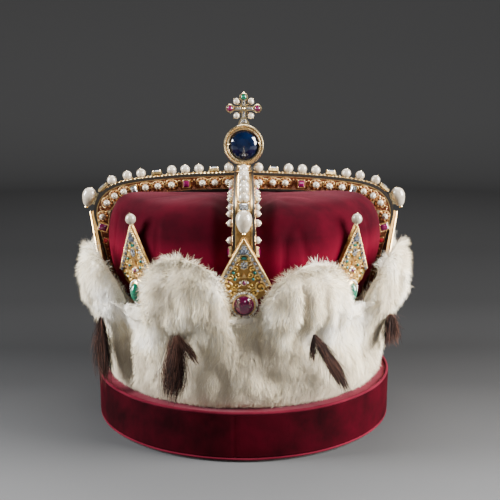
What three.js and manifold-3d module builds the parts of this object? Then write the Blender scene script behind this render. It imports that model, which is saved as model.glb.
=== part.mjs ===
// A closed ceremonial crown on its velvet display stand, in millimetres, +Z up.
// The origin is the centre of the stand's underside. The front faces -Y, and an azimuth turns from
// the front towards +X, so that a bay's own -Y axis points outwards.

import * as THREE from "three";
import Module from "manifold-3d";
import { mergeVertices } from "three/addons/utils/BufferGeometryUtils.js";

const wasm = await Module();
wasm.setup();

// ---- driving dimensions ----------------------------------------------------------------------

const GAP = 0.3; // between pieces that touch
const ROUND = 48; // sides of each large turned piece

const STAND_RADIUS = 120;
const FELT_THICKNESS = 1.2;
const DRUM_TOP = 35.2;
const VELVET_THICKNESS = 1.6;
const LEDGE_Z = 36.6; // upper face of the velvet that the crown sits on
const PIPING_RADIUS = 1.1;
const FORMER_RADIUS = 92;
const FORMER_TOP = 60;

const CROWN_BOTTOM = LEDGE_Z + GAP;
const BAND_INNER_RADIUS = 95.3; // about a 60 cm head
const CIRCLET_INNER_RADIUS = 97.3;
const CIRCLET_THICKNESS = 1.2;
const CIRCLET_TOP = 102.5;
const CAP_EDGE_Z = 80; // where the cap is sewn to the sweatband
const CAP_THICKNESS = 1.8;
const LINING_THICKNESS = 1.0;
const CAP_HOLE_RADIUS = 2; // for the bolt of the finial
const CAP_PRESSED_HALF = 8; // half width of the strip that each arch presses flat
const CAP_PUFFED_HALF = 20; // distance from an arch's middle where the cap stands full

const ARCH_WIDTH = 14.8;
const ARCH_FACE_THICKNESS = 1.6;
const ARCH_WALL_THICKNESS = 1.2;
const ARCH_START = 7.7; // from the crown's axis
const ARCH_STEPS = 14;

const FLEURON_BASE_Z = 98;
const FLEURON_BASE_RADIUS = 105; // to the plate's back
const FLEURON_THICKNESS = 2.4;
const FLEURON_APEX = 70;
const FLEURON_SHOULDER = 34.5;
const FLEURON_HALF_WIDTH = 19.5;
const FLEURON_WAIST = 23;
const BEZEL_HEIGHT = 18.6; // centre of the large stone's bezel, up the plate
const BEZEL_RADIUS = 10.2;
const ARCH_FLEURON_LEAN = Math.atan(0.25);
const OPEN_FLEURON_LEAN = Math.atan(0.13);

const RUBY_HALF = [7, 7.4];
const EMERALD_HALF = [4.6, 7.8];
const CABOCHON_RISE = 6.5;
const DROP_PEARL_RADIUS = 5.6;
const DROP_PEARL_LENGTH = 15.8;
const DROP_PEARL_CENTRE = [125.6, 176.4];
const DROP_PEARL_TILT = 0.28;
const FINIAL_PEARL_RADIUS = 3.9;

const BLOCK_Z = [183, 196.6];
const COLLAR_TOP = 202;
const RING_CENTRE_Z = 218.4;
const RING_OUTER_RADIUS = 16.1;
const RING_INNER_RADIUS = 12.8;
const RING_DEPTH = 8;
const SAPPHIRE_DEPTH = 13;
const CROSS_CENTRE_Z = 247.4;
const CROSS_ARM = 10.9; // from the cross's centre to the centre of a side collet
const CROSS_UP = 8.9; // and to the centre of the top one
const CROSS_BAR = 4;
const COLLET_RADIUS = 3.5;
const CROSS_FOOT_DROP = 12.6;

const LOBES = 8;
const LOBE_STEP = 45;
const PELT_HALF = 22.35; // degrees of azimuth, a little under half a step
const LOBE_HALF = 18;
const PELT_INNER_RADIUS = 102;
const PELT_OUTER_RADIUS = 119.3;
const PELT_VALLEY_Z = 98.5;
const PELT_CREST_Z = 157;
const PELT_BULGE = 20.5;
const FLAP_TIP_Z = 94.5;
const TAIL_ROOT = [128, 93]; // radius and height of the stitch that holds a tail
const TAIL_RADIUS = 5.5;

// Each tail, in turn from the front right: its length, its lean towards +azimuth in degrees, and how
// far round from its lobe's middle it is sewn on.
const TAILS = [
  [54, 33, 0],
  [32, 14, -8],
  [50, -6, 2],
  [48, 8, 0],
  [52, -10, -3],
  [48, 5, 2],
  [54, 4, 10],
  [54, -4, 1],
];

// ---- materials -------------------------------------------------------------------------------

function finish(color, roughness, metalness) {
  return new THREE.MeshStandardMaterial({ color, roughness, metalness });
}

const LOOKS = {
  capVelvet: finish(0x8c1230, 0.85, 0),
  standVelvet: finish(0x5c0618, 0.9, 0),
  piping: finish(0xb03a50, 0.8, 0),
  felt: finish(0x241c1c, 0.95, 0),
  board: finish(0xb08d62, 0.8, 0),
  leather: finish(0x8a6244, 0.6, 0),
  silk: finish(0xcfc3a6, 0.5, 0),
  gold: finish(0xd9b25c, 0.28, 1),
  pearl: finish(0xf0e8dc, 0.25, 0),
  ruby: finish(0x6d1247, 0.08, 0),
  emerald: finish(0x0d6b45, 0.08, 0),
  sapphire: finish(0x0b1c4f, 0.06, 0),
  ermine: finish(0xede6d8, 0.95, 0),
  tail: finish(0x2e1a12, 0.8, 0),
};

// ---- geometry helpers ------------------------------------------------------------------------

function radians(degrees) {
  return (degrees * Math.PI) / 180;
}

function mix(a, b, t) {
  return a + (b - a) * t;
}

function smooth(low, high, x) {
  const t = Math.min(1, Math.max(0, (x - low) / (high - low)));
  return t * t * (3 - 2 * t);
}

// Turns a closed geometry's faces outwards if they point inwards.
function facingOut(geometry) {
  const open = geometry.index ? geometry.toNonIndexed() : geometry;
  const place = open.getAttribute("position");
  const corners = [new THREE.Vector3(), new THREE.Vector3(), new THREE.Vector3()];
  let volume = 0;
  for (let i = 0; i < place.count; i += 3) {
    corners.forEach((corner, k) => corner.fromBufferAttribute(place, i + k));
    volume += corners[0].dot(corners[1].clone().cross(corners[2]));
  }
  if (volume < 0) {
    for (let i = 0; i < place.count; i += 3) {
      const first = new THREE.Vector3().fromBufferAttribute(place, i);
      const last = new THREE.Vector3().fromBufferAttribute(place, i + 2);
      place.setXYZ(i, last.x, last.y, last.z);
      place.setXYZ(i + 2, first.x, first.y, first.z);
    }
  }
  const solid = new THREE.BufferGeometry().setAttribute("position", place);
  solid.computeVertexNormals();
  return solid;
}

// A triangle's corners in the order that the outline runs.
function inOrder(triangle) {
  return [...triangle].sort((a, b) => a - b);
}

// A solid through closed sections of equal length. A ring joins the last section to the first;
// otherwise both ends are closed with the triangles of the flat outline.
function loft(sections, outline, ring) {
  const points = sections.flat();
  const size = sections[0].length;
  const index = [];
  const steps = ring ? sections.length : sections.length - 1;
  for (let i = 0; i < steps; i += 1) {
    const here = i * size;
    const next = ((i + 1) % sections.length) * size;
    for (let k = 0; k < size; k += 1) {
      const m = (k + 1) % size;
      index.push(here + k, next + k, next + m);
      index.push(here + k, next + m, here + m);
    }
  }
  if (!ring) {
    const last = (sections.length - 1) * size;
    for (const triangle of THREE.ShapeUtils.triangulateShape(outline(0), [])) {
      const [a, b, c] = inOrder(triangle);
      index.push(a, b, c);
    }
    for (const triangle of THREE.ShapeUtils.triangulateShape(outline(sections.length - 1), [])) {
      const [a, b, c] = inOrder(triangle);
      index.push(last + a, last + c, last + b);
    }
  }
  const geometry = new THREE.BufferGeometry();
  geometry.setFromPoints(points);
  geometry.setIndex(index);
  return facingOut(geometry);
}

// A turned piece about +Z from a profile of [radius, height] pairs.
function turned(profile, segments) {
  const points = profile.map(([r, z]) => new THREE.Vector2(r, z));
  const geometry = new THREE.LatheGeometry(points, segments);
  geometry.rotateX(Math.PI / 2);
  return facingOut(geometry);
}

// A turned tube with square edges.
function band(inner, outer, low, high, segments) {
  const profile = [
    [inner, low],
    [outer, low],
    [outer, high],
    [inner, high],
    [inner, low],
  ];
  return turned(profile, segments);
}

function disc(radius, low, high, segments) {
  const profile = [
    [0, low],
    [radius, low],
    [radius, high],
    [0, high],
  ];
  return turned(profile, segments);
}

// A round cord sewn round the stand.
function piping(radius, z) {
  const sides = 6;
  const profile = [];
  for (let k = 0; k <= sides; k += 1) {
    const turn = (k / sides) * 2 * Math.PI;
    profile.push([radius + PIPING_RADIUS * Math.cos(turn), z + PIPING_RADIUS * Math.sin(turn)]);
  }
  return turned(profile, ROUND);
}

function asSolid(geometry) {
  const bare = geometry.clone();
  bare.deleteAttribute("normal");
  bare.deleteAttribute("uv");
  const merged = mergeVertices(bare, 1e-4);
  const mesh = new wasm.Mesh({
    numProp: 3,
    vertProperties: new Float32Array(merged.getAttribute("position").array),
    triVerts: new Uint32Array(merged.index.array),
  });
  return new wasm.Manifold(mesh);
}

function joined(geometries) {
  const [first, ...others] = geometries.map(asSolid);
  const mesh = others.reduce((whole, piece) => whole.add(piece), first).getMesh();
  const geometry = new THREE.BufferGeometry();
  geometry.setAttribute("position", new THREE.BufferAttribute(mesh.vertProperties, 3));
  geometry.setIndex(new THREE.BufferAttribute(mesh.triVerts, 1));
  geometry.computeVertexNormals();
  return geometry;
}

// ---- scene helpers ---------------------------------------------------------------------------

const crown = new THREE.Group();

function add(group, name, geometry, look) {
  const mesh = new THREE.Mesh(geometry, look.clone());
  mesh.name = name;
  group.add(mesh);
  return mesh;
}

// A group whose own -Y axis points outwards at the azimuth.
function bay(azimuth) {
  const group = new THREE.Group();
  group.rotation.z = radians(azimuth);
  crown.add(group);
  return group;
}

// ---- stand -----------------------------------------------------------------------------------

function buildStand() {
  const side = STAND_RADIUS - VELVET_THICKNESS;
  const pipingRadius = STAND_RADIUS - PIPING_RADIUS - 0.2;
  const footZ = FELT_THICKNESS + GAP + PIPING_RADIUS;
  const rimZ = LEDGE_Z + 0.4;
  const sideTop = rimZ - PIPING_RADIUS - GAP;
  const ledgeRadius = pipingRadius - PIPING_RADIUS - GAP;
  const formerFoot = LEDGE_Z + GAP;
  const former = [
    [0, formerFoot],
    [FORMER_RADIUS, formerFoot],
    [FORMER_RADIUS, FORMER_TOP - 8],
    [FORMER_RADIUS - 2.5, FORMER_TOP - 2.5],
    [FORMER_RADIUS - 8, FORMER_TOP],
    [0, FORMER_TOP],
  ];
  const drumRadius = side - PIPING_RADIUS * 2 - GAP;
  add(crown, "stand_felt_base", disc(side, 0, FELT_THICKNESS, ROUND), LOOKS.felt);
  add(crown, "stand_drum", disc(drumRadius, FELT_THICKNESS + GAP, DRUM_TOP - GAP, ROUND), LOOKS.board);
  const velvetLow = footZ + PIPING_RADIUS + GAP;
  const wrap = band(drumRadius + GAP, STAND_RADIUS, velvetLow, sideTop, ROUND);
  add(crown, "stand_velvet_side", wrap, LOOKS.standVelvet);
  add(crown, "stand_velvet_top", disc(drumRadius, DRUM_TOP, LEDGE_Z, ROUND), LOOKS.standVelvet);
  add(crown, "stand_rim_piping", piping(ledgeRadius + PIPING_RADIUS + GAP, rimZ), LOOKS.piping);
  add(crown, "stand_foot_piping", piping(pipingRadius, footZ), LOOKS.piping);
  add(crown, "stand_former", turned(former, ROUND), LOOKS.standVelvet);
}

// ---- headband and cap ------------------------------------------------------------------------

// The cap's outer face as [radius, height], where an arch presses on it and where it stands free.
const CAP_PRESSED = [
  [96.7, CAP_EDGE_Z],
  [96.7, 103],
  [102.5, 118],
  [105.8, 134],
  [105.9, 152],
  [102.4, 165],
  [94.5, 172],
  [80, 175.9],
  [50, 180],
  [CAP_HOLE_RADIUS, 181.9],
];
const CAP_FREE = [
  [96.7, CAP_EDGE_Z],
  [96.7, 103],
  [104, 118],
  [108.5, 134],
  [109.5, 152],
  [107, 167],
  [100.5, 177.4],
  [88, 183],
  [58, 184],
  [CAP_HOLE_RADIUS, 181.9],
];

// Azimuths within a quarter of the cap, closer together beside the arches.
const CAP_AZIMUTHS = [0, 4.2, 10, 18, 30, 45, 60, 72, 80, 85.8];

// How far the shell's wall faces up at a height: 0 on the sides and 1 on the top.
function capSlope(z) {
  return smooth(142, 181, z);
}

function inward([r, z], depth) {
  const turn = (capSlope(z) * Math.PI) / 2;
  return [r - depth * Math.cos(turn), z - depth * Math.sin(turn)];
}

function capSection(azimuth) {
  const turn = radians(azimuth);
  const outer = CAP_PRESSED.map(([r, z], i) => {
    const [freeR, freeZ] = CAP_FREE[i];
    const fromArch = r * Math.min(Math.abs(Math.sin(turn)), Math.abs(Math.cos(turn)));
    const puff = smooth(CAP_PRESSED_HALF, CAP_PUFFED_HALF, fromArch);
    return [mix(r, freeR, puff), mix(z, freeZ, puff)];
  });
  const inner = outer.map((point) => inward(point, CAP_THICKNESS)).reverse();
  inner[0] = [CAP_HOLE_RADIUS, inner[0][1]];
  return [...outer, ...inner].map(
    ([r, z]) => new THREE.Vector3(r * Math.sin(turn), -r * Math.cos(turn), z),
  );
}

function buildHeadband() {
  const circletOuter = CIRCLET_INNER_RADIUS + CIRCLET_THICKNESS;
  const circlet = band(CIRCLET_INNER_RADIUS, circletOuter, CROWN_BOTTOM, CIRCLET_TOP, ROUND);
  add(crown, "circlet", circlet, LOOKS.gold);
  const bandOuter = CIRCLET_INNER_RADIUS - GAP;
  const sweatband = band(BAND_INNER_RADIUS, bandOuter, CROWN_BOTTOM + 2, CAP_EDGE_Z - GAP, ROUND);
  add(crown, "sweatband", sweatband, LOOKS.leather);

  const sections = [0, 90, 180, 270].flatMap((quarter) =>
    CAP_AZIMUTHS.map((azimuth) => capSection(quarter + azimuth)),
  );
  add(crown, "velvet_cap", loft(sections, null, true), LOOKS.capVelvet);

  const depth = CAP_THICKNESS + 1;
  const skin = CAP_PRESSED.map((point) => inward(point, depth));
  const inside = CAP_PRESSED.map((point) => inward(point, depth + LINING_THICKNESS)).reverse();
  inside[0] = [CAP_HOLE_RADIUS, inside[0][1]];
  add(crown, "cap_lining", turned([...skin, ...inside, skin[0]], 32), LOOKS.silk);
}

// ---- arches ----------------------------------------------------------------------------------

// The arch's side view as matching points of its outer and inner edges, from the top to the foot.
const ARCH_OUTER = new THREE.SplineCurve([
  new THREE.Vector2(ARCH_START, 196.6),
  new THREE.Vector2(45, 195.3),
  new THREE.Vector2(82, 192),
  new THREE.Vector2(104, 187.2),
  new THREE.Vector2(116.2, 178.4),
  new THREE.Vector2(120.6, 165),
  new THREE.Vector2(116.4, 146.5),
  new THREE.Vector2(111.1, 125),
  new THREE.Vector2(104.2, 97),
]);
const ARCH_INNER = new THREE.SplineCurve([
  new THREE.Vector2(ARCH_START, 183),
  new THREE.Vector2(45, 181.6),
  new THREE.Vector2(80, 178.4),
  new THREE.Vector2(94, 175),
  new THREE.Vector2(103.4, 168.4),
  new THREE.Vector2(107.2, 159.4),
  new THREE.Vector2(107.6, 144),
  new THREE.Vector2(105.2, 124),
  new THREE.Vector2(98.9, 97),
]);

// The arch is a box open towards the cap: one face with a wall down each side.
function archSection(step) {
  const outer = ARCH_OUTER.getPoint(step / ARCH_STEPS);
  const inner = ARCH_INNER.getPoint(step / ARCH_STEPS);
  const half = ARCH_WIDTH / 2;
  const hollow = half - ARCH_WALL_THICKNESS;
  const roof = ARCH_FACE_THICKNESS / outer.distanceTo(inner);
  return [
    [-half, 0],
    [half, 0],
    [half, 1],
    [hollow, 1],
    [hollow, roof],
    [-hollow, roof],
    [-hollow, 1],
    [-half, 1],
  ].map(([x, depth]) => {
    const place = outer.clone().lerp(inner, depth);
    return new THREE.Vector3(x, -place.x, place.y);
  });
}

function archGeometry() {
  const sections = [];
  for (let step = 0; step <= ARCH_STEPS; step += 1) {
    sections.push(archSection(step));
  }
  const top = sections[0].map((point) => new THREE.Vector2(point.x, point.z));
  const foot = sections[ARCH_STEPS].map((point) => new THREE.Vector2(point.x, point.y));
  return loft(sections, (end) => (end === 0 ? top : foot), false);
}

// A pear-shaped pearl with its point down.
function dropPearl() {
  const half = DROP_PEARL_LENGTH / 2;
  const profile = [
    [0, -half],
    [0.3, -0.78],
    [0.66, -0.4],
    [0.94, 0],
    [0.98, 0.3],
    [0.78, 0.68],
    [0.42, 0.93],
    [0, half],
  ].map(([r, z], i, all) => {
    const end = i === 0 || i === all.length - 1;
    return [r * DROP_PEARL_RADIUS, end ? z : z * half];
  });
  return turned(profile, 12);
}

// ---- fleurons --------------------------------------------------------------------------------

// The plate's outline: a kite over a round bezel, with a blunt apex and a tab below.
function fleuronShape() {
  const shape = new THREE.Shape();
  shape.moveTo(-3.2, -4);
  shape.lineTo(3.2, -4);
  shape.lineTo(3.2, BEZEL_HEIGHT - BEZEL_RADIUS + 0.6);
  shape.absarc(0, BEZEL_HEIGHT, BEZEL_RADIUS, -Math.PI * 0.4, Math.PI * 0.1, false);
  shape.lineTo(FLEURON_HALF_WIDTH - 3, FLEURON_WAIST + 3);
  shape.lineTo(FLEURON_HALF_WIDTH, FLEURON_SHOULDER);
  shape.lineTo(1.4, FLEURON_APEX);
  shape.lineTo(-1.4, FLEURON_APEX);
  shape.lineTo(-FLEURON_HALF_WIDTH, FLEURON_SHOULDER);
  shape.lineTo(-FLEURON_HALF_WIDTH + 3, FLEURON_WAIST + 3);
  shape.absarc(0, BEZEL_HEIGHT, BEZEL_RADIUS, Math.PI * 0.9, Math.PI * 1.4, false);
  shape.lineTo(-3.2, BEZEL_HEIGHT - BEZEL_RADIUS + 0.6);
  shape.closePath();
  return shape;
}

// In the plate's own frame: x across, -y outwards from its back, z up the plate.
function fleuronPlate() {
  const plate = new THREE.ExtrudeGeometry(fleuronShape(), {
    depth: FLEURON_THICKNESS,
    bevelEnabled: false,
    curveSegments: 5,
  });
  plate.rotateX(Math.PI / 2);
  return plate;
}

// The open fleurons have no arch behind them, so a bracket carries the plate off the circlet.
function bracketedPlate() {
  const circletOuter = CIRCLET_INNER_RADIUS + CIRCLET_THICKNESS;
  const reach = FLEURON_BASE_RADIUS - circletOuter - 3 * GAP;
  const bracket = new THREE.BoxGeometry(6, reach + 0.6, 5);
  bracket.translate(0, (reach - 0.6) / 2, -1.2);
  return joined([fleuronPlate(), bracket]);
}

function cabochon([halfWidth, halfHeight]) {
  const profile = [
    [0, 0],
    [1, 0],
    [1, 0.18],
    [0.88, 0.55],
    [0.6, 0.85],
    [0, 1],
  ];
  const dome = turned(profile, 12);
  dome.scale(halfWidth, halfHeight, CABOCHON_RISE);
  dome.rotateX(Math.PI / 2);
  return dome;
}

// A group in the plate's frame, leaning outwards.
function fleuronFrame(group, lean) {
  const frame = new THREE.Group();
  frame.position.set(0, -FLEURON_BASE_RADIUS, FLEURON_BASE_Z);
  frame.rotation.x = lean;
  group.add(frame);
  return frame;
}

function buildArchBay(side, azimuth) {
  const group = bay(azimuth);
  add(group, `arch_${side}`, archGeometry(), LOOKS.gold);
  const pearl = add(group, `drop_pearl_${side}`, dropPearl(), LOOKS.pearl);
  pearl.position.set(0, -DROP_PEARL_CENTRE[0], DROP_PEARL_CENTRE[1]);
  pearl.rotation.x = -DROP_PEARL_TILT;
  const frame = fleuronFrame(group, ARCH_FLEURON_LEAN);
  add(frame, `fleuron_${side}`, fleuronPlate(), LOOKS.gold);
  const ruby = add(frame, `ruby_cabochon_${side}`, cabochon(RUBY_HALF), LOOKS.ruby);
  ruby.position.set(0, -FLEURON_THICKNESS - GAP, BEZEL_HEIGHT);
}

function buildOpenBay(side, azimuth) {
  const frame = fleuronFrame(bay(azimuth), OPEN_FLEURON_LEAN);
  add(frame, `fleuron_${side}`, bracketedPlate(), LOOKS.gold);
  const emerald = add(frame, `emerald_cabochon_${side}`, cabochon(EMERALD_HALF), LOOKS.emerald);
  emerald.position.set(0, -FLEURON_THICKNESS - GAP, BEZEL_HEIGHT);
  const sphere = new THREE.SphereGeometry(FINIAL_PEARL_RADIUS, 10, 7);
  const pearl = add(frame, `finial_pearl_${side}`, sphere, LOOKS.pearl);
  pearl.position.set(0, -FLEURON_THICKNESS / 2, FLEURON_APEX + FINIAL_PEARL_RADIUS + GAP);
}

// ---- finial ----------------------------------------------------------------------------------

function ringGeometry() {
  const half = RING_DEPTH / 2;
  const middle = (RING_OUTER_RADIUS + RING_INNER_RADIUS) / 2;
  const profile = [
    [RING_INNER_RADIUS, -half + 0.8],
    [middle, -half],
    [RING_OUTER_RADIUS, -half + 0.8],
    [RING_OUTER_RADIUS, half - 0.8],
    [middle, half],
    [RING_INNER_RADIUS, half - 0.8],
    [RING_INNER_RADIUS, -half + 0.8],
  ];
  return turned(profile, 24).rotateX(Math.PI / 2);
}

function sapphireGeometry() {
  const radius = RING_INNER_RADIUS - GAP - 0.1;
  const half = SAPPHIRE_DEPTH / 2;
  const profile = [
    [0, -half],
    [radius * 0.55, -half * 0.86],
    [radius * 0.86, -half * 0.52],
    [radius, -1.2],
    [radius, 1.2],
    [radius * 0.86, half * 0.52],
    [radius * 0.55, half * 0.86],
    [0, half],
  ];
  return turned(profile, 20).rotateX(Math.PI / 2);
}

// Two crossed bars with a round collet at three ends and a spreading foot at the fourth.
function crossGeometry() {
  const across = new THREE.BoxGeometry(CROSS_ARM * 2, CROSS_BAR, CROSS_BAR);
  const footHeight = 6;
  const footTop = footHeight - CROSS_FOOT_DROP;
  const up = new THREE.BoxGeometry(CROSS_BAR, CROSS_BAR, CROSS_UP - footTop + 1);
  up.translate(0, 0, (CROSS_UP + footTop - 1) / 2);
  const collets = [
    [-CROSS_ARM, 0],
    [CROSS_ARM, 0],
    [0, CROSS_UP],
  ].map(([x, z]) => {
    const collet = new THREE.CylinderGeometry(COLLET_RADIUS, COLLET_RADIUS, CROSS_BAR + 0.8, 10);
    return collet.translate(x, 0, z);
  });
  const foot = new THREE.CylinderGeometry(2.6, 6.4, footHeight, 4, 1);
  foot.rotateY(Math.PI / 4);
  foot.rotateX(Math.PI / 2);
  foot.translate(0, 0, footHeight / 2 - CROSS_FOOT_DROP);
  return joined([across, up, foot, ...collets]);
}

function buildFinial() {
  const height = BLOCK_Z[1] - BLOCK_Z[0];
  const block = new THREE.BoxGeometry(ARCH_WIDTH, ARCH_WIDTH, height);
  const blockMesh = add(crown, "crossing_block", block, LOOKS.gold);
  blockMesh.position.z = BLOCK_Z[0] + height / 2;
  const collarLow = BLOCK_Z[1] + GAP;
  const collar = [
    [0, collarLow],
    [7, collarLow],
    [7, collarLow + 1.2],
    [5, collarLow + 2.6],
    [6, COLLAR_TOP],
    [0, COLLAR_TOP],
  ];
  add(crown, "finial_collar", turned(collar, 24), LOOKS.gold);
  add(crown, "sapphire_ring", ringGeometry(), LOOKS.gold).position.z = RING_CENTRE_Z;
  add(crown, "sapphire", sapphireGeometry(), LOOKS.sapphire).position.z = RING_CENTRE_Z;
  add(crown, "finial_cross", crossGeometry(), LOOKS.gold).position.z = CROSS_CENTRE_Z;
}

// ---- ermine ----------------------------------------------------------------------------------

// The pelt's inner face clears the circlet below and the leaning fleurons above.
function peltInner(z) {
  const knee = 86;
  const lean = 128;
  if (z <= knee) {
    return mix(PELT_INNER_RADIUS, 108.6, smooth(knee - 6, knee, z));
  }
  const steep = Math.max(0, Math.min(z, lean) - FLEURON_BASE_Z) * 0.38;
  return 108.6 + steep + Math.max(0, z - lean) * 0.2;
}

// One upright section of a pelt: a band below, and a lobe turned outwards and down over it.
function peltSection(offset) {
  const across = Math.min(1, Math.abs(offset) / LOBE_HALF);
  const rise = Math.sqrt(1 - Math.pow(across, 2.2));
  const crest = mix(PELT_VALLEY_Z, PELT_CREST_Z, rise);
  const bulge = PELT_BULGE * Math.pow(rise, 0.7);
  const flap = (out, up) => [PELT_OUTER_RADIUS + bulge * out, mix(FLAP_TIP_Z, crest, up)];
  const innerUp = (up) => {
    const z = mix(86, crest, up);
    return [peltInner(z), z];
  };
  const [nearR] = innerUp(0.95);
  return [
    [PELT_INNER_RADIUS, CROWN_BOTTOM],
    [116.6, CROWN_BOTTOM],
    [118.6, 56],
    [PELT_OUTER_RADIUS, 90.5],
    flap(0.42, 0),
    flap(0.86, 0.12),
    flap(1, 0.45),
    flap(0.97, 0.72),
    flap(0.74, 0.93),
    [mix(nearR, PELT_OUTER_RADIUS + bulge, 0.4), crest],
    innerUp(0.95),
    innerUp(0.6),
    innerUp(0.3),
    innerUp(0),
    [PELT_INNER_RADIUS, 80],
  ];
}

function peltGeometry() {
  const offsets = [-PELT_HALF, -18, -16, -12.5, -7, 0, 7, 12.5, 16, 18, PELT_HALF];
  const outlines = offsets.map(peltSection);
  const sections = outlines.map((outline, i) => {
    const turn = radians(offsets[i]);
    return outline.map(([r, z]) => new THREE.Vector3(r * Math.sin(turn), -r * Math.cos(turn), z));
  });
  const flat = (end) => outlines[end].map(([r, z]) => new THREE.Vector2(r, z));
  return loft(sections, flat, false);
}

function tailGeometry(length) {
  const profile = [
    [0, 0],
    [0.45, -0.02],
    [0.85, -0.2],
    [1, -0.46],
    [0.82, -0.76],
    [0, -1],
  ];
  return turned(
    profile.map(([r, z]) => [r * TAIL_RADIUS, z * length]),
    10,
  );
}

function buildErmine() {
  for (let k = 0; k < LOBES; k += 1) {
    const middle = LOBE_STEP * (k + 0.5);
    add(bay(middle), `ermine_pelt_${k + 1}`, peltGeometry(), LOOKS.ermine);
    const [length, lean, round] = TAILS[k];
    const tail = add(bay(middle + round), `ermine_tail_${k + 1}`, tailGeometry(length), LOOKS.tail);
    tail.position.set(0, -TAIL_ROOT[0], TAIL_ROOT[1]);
    tail.rotation.y = -radians(lean);
  }
}

// ---- assembly --------------------------------------------------------------------------------

buildStand();
buildHeadband();
["front", "right", "back", "left"].forEach((side, k) => buildArchBay(side, 90 * k));
["front_right", "back_right", "back_left", "front_left"].forEach((side, k) =>
  buildOpenBay(side, 45 + 90 * k),
);
buildFinial();
buildErmine();

export default crown;
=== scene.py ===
"""The crown and its display stand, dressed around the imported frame.

Pieces are made in millimetres in the row's frame (+Z up, the front faces -Y) and scaled to metres.
A "face" is a matrix for something that sits on a surface: x across, y up along it, z out of it.
"""

import math
from functools import lru_cache

import bpy
import numpy as np
from mathutils import Matrix, Vector, kdtree


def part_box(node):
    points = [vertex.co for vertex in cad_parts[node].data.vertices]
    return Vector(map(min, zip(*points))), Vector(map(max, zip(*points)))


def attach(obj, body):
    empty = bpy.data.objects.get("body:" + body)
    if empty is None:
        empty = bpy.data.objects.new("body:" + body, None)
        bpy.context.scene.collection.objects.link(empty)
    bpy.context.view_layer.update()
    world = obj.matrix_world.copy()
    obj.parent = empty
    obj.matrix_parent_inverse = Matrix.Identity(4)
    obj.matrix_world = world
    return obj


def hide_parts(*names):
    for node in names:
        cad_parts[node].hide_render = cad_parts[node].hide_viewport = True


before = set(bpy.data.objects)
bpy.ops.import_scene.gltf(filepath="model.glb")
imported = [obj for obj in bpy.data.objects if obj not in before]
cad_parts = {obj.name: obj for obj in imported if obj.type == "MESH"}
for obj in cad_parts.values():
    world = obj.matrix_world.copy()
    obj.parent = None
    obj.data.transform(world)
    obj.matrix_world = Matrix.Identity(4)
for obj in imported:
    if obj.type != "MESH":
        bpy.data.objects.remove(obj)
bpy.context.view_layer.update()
MM = 0.001
TURN = 2 * math.pi


def box_mm(node):
    low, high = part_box(node)
    return np.array(low) / MM, np.array(high) / MM


# ---- sizes, in millimetres, the same as the frame's ----------------------------------------------

STAND_RADIUS = box_mm("stand_velvet_side")[1][0]
LEDGE_Z = box_mm("stand_velvet_top")[1][2]
RIM_Z = (box_mm("stand_rim_piping")[0][2] + box_mm("stand_rim_piping")[1][2]) / 2
FOOT_Z = (box_mm("stand_foot_piping")[0][2] + box_mm("stand_foot_piping")[1][2]) / 2
CIRCLET_RADIUS = box_mm("circlet")[1][0]
CIRCLET_TOP = box_mm("circlet")[1][2]
CROWN_BOTTOM = box_mm("circlet")[0][2]
RING_Z = (box_mm("sapphire_ring")[0][2] + box_mm("sapphire_ring")[1][2]) / 2
CREST_Z = box_mm("ermine_pelt_1")[1][2]

PLATE_BACK = 105.0
PLATE_BASE_Z = 98.0
PLATE_THICKNESS = 2.4
APEX = 70.0
SHOULDER = 34.0
HALF_WIDTH = 19.4
BEZEL_UP = 18.6
LEAN_ARCH = math.atan(0.25)
LEAN_OPEN = math.atan(0.13)
ARCH_HALF = 7.4

SIDES = ("front", "right", "back", "left")
OPEN_SIDES = ("front_right", "back_right", "back_left", "front_left")
rng = np.random.default_rng(7)


# ---- materials -----------------------------------------------------------------------------------


class Paint:
    """A Principled material and short calls that add nodes to it."""

    def __init__(self, name, color, **values):
        self.material = bpy.data.materials.new(name)
        self.material.use_nodes = True
        self.tree = self.material.node_tree
        self.shader = self.tree.nodes["Principled BSDF"]
        self.place = None
        self.look(Base_Color=color, **values)

    def fill(self, node, inputs):
        """Sets or links a node's inputs by name, with _ for a space."""
        for key, value in inputs.items():
            socket = node.inputs[key.replace("_", " ")]
            if isinstance(value, bpy.types.NodeSocket):
                self.tree.links.new(value, socket)
            else:
                socket.default_value = (*value, 1) if socket.type == "RGBA" else value

    def look(self, **inputs):
        """Sets or links the shader's own inputs, and gives the material."""
        self.fill(self.shader, inputs)
        return self.material

    def node(self, kind, **inputs):
        made = self.tree.nodes.new("ShaderNode" + kind)
        self.fill(made, inputs)
        return made

    def spot(self, stretch=(1, 1, 1)):
        if self.place is None:
            self.place = self.node("TexCoord").outputs["Object"]
        return self.node("Mapping", Vector=self.place, Scale=stretch).outputs["Vector"]

    def noise(self, scale, detail=3.0, rough=0.55, stretch=(1, 1, 1)):
        spot = self.spot(stretch)
        return self.node("TexNoise", Vector=spot, Scale=scale, Detail=detail, Roughness=rough).outputs["Fac"]

    def ramp(self, factor, *stops):
        made = self.node("ValToRGB", Fac=factor)
        points = made.color_ramp.elements
        while len(points) < len(stops):
            points.new(0.5)
        for point, (place, color) in zip(points, stops):
            point.position = place
            point.color = (*color, 1)
        return made.outputs["Color"]

    def mixed(self, factor, a, b):
        return self.node("MixRGB", Fac=factor, Color1=a, Color2=b).outputs["Color"]

    def range(self, value, low, high, start=0.0, end=1.0):
        """Values from start to end turned into low to high."""
        made = self.node("MapRange", Value=value, From_Min=start, From_Max=end, To_Min=low, To_Max=high)
        return made.outputs["Result"]

    def height(self, axis):
        return self.node("SeparateXYZ", Vector=self.spot()).outputs[axis]

    def bump(self, *layers):
        """Each layer is (height, strength, distance in mm); gives the material."""
        below = {}
        for height, strength, distance in layers:
            made = self.node("Bump", Height=height, Strength=strength, Distance=distance * MM, **below)
            below = {"Normal": made.outputs["Normal"]}
        return self.look(**below)


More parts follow.
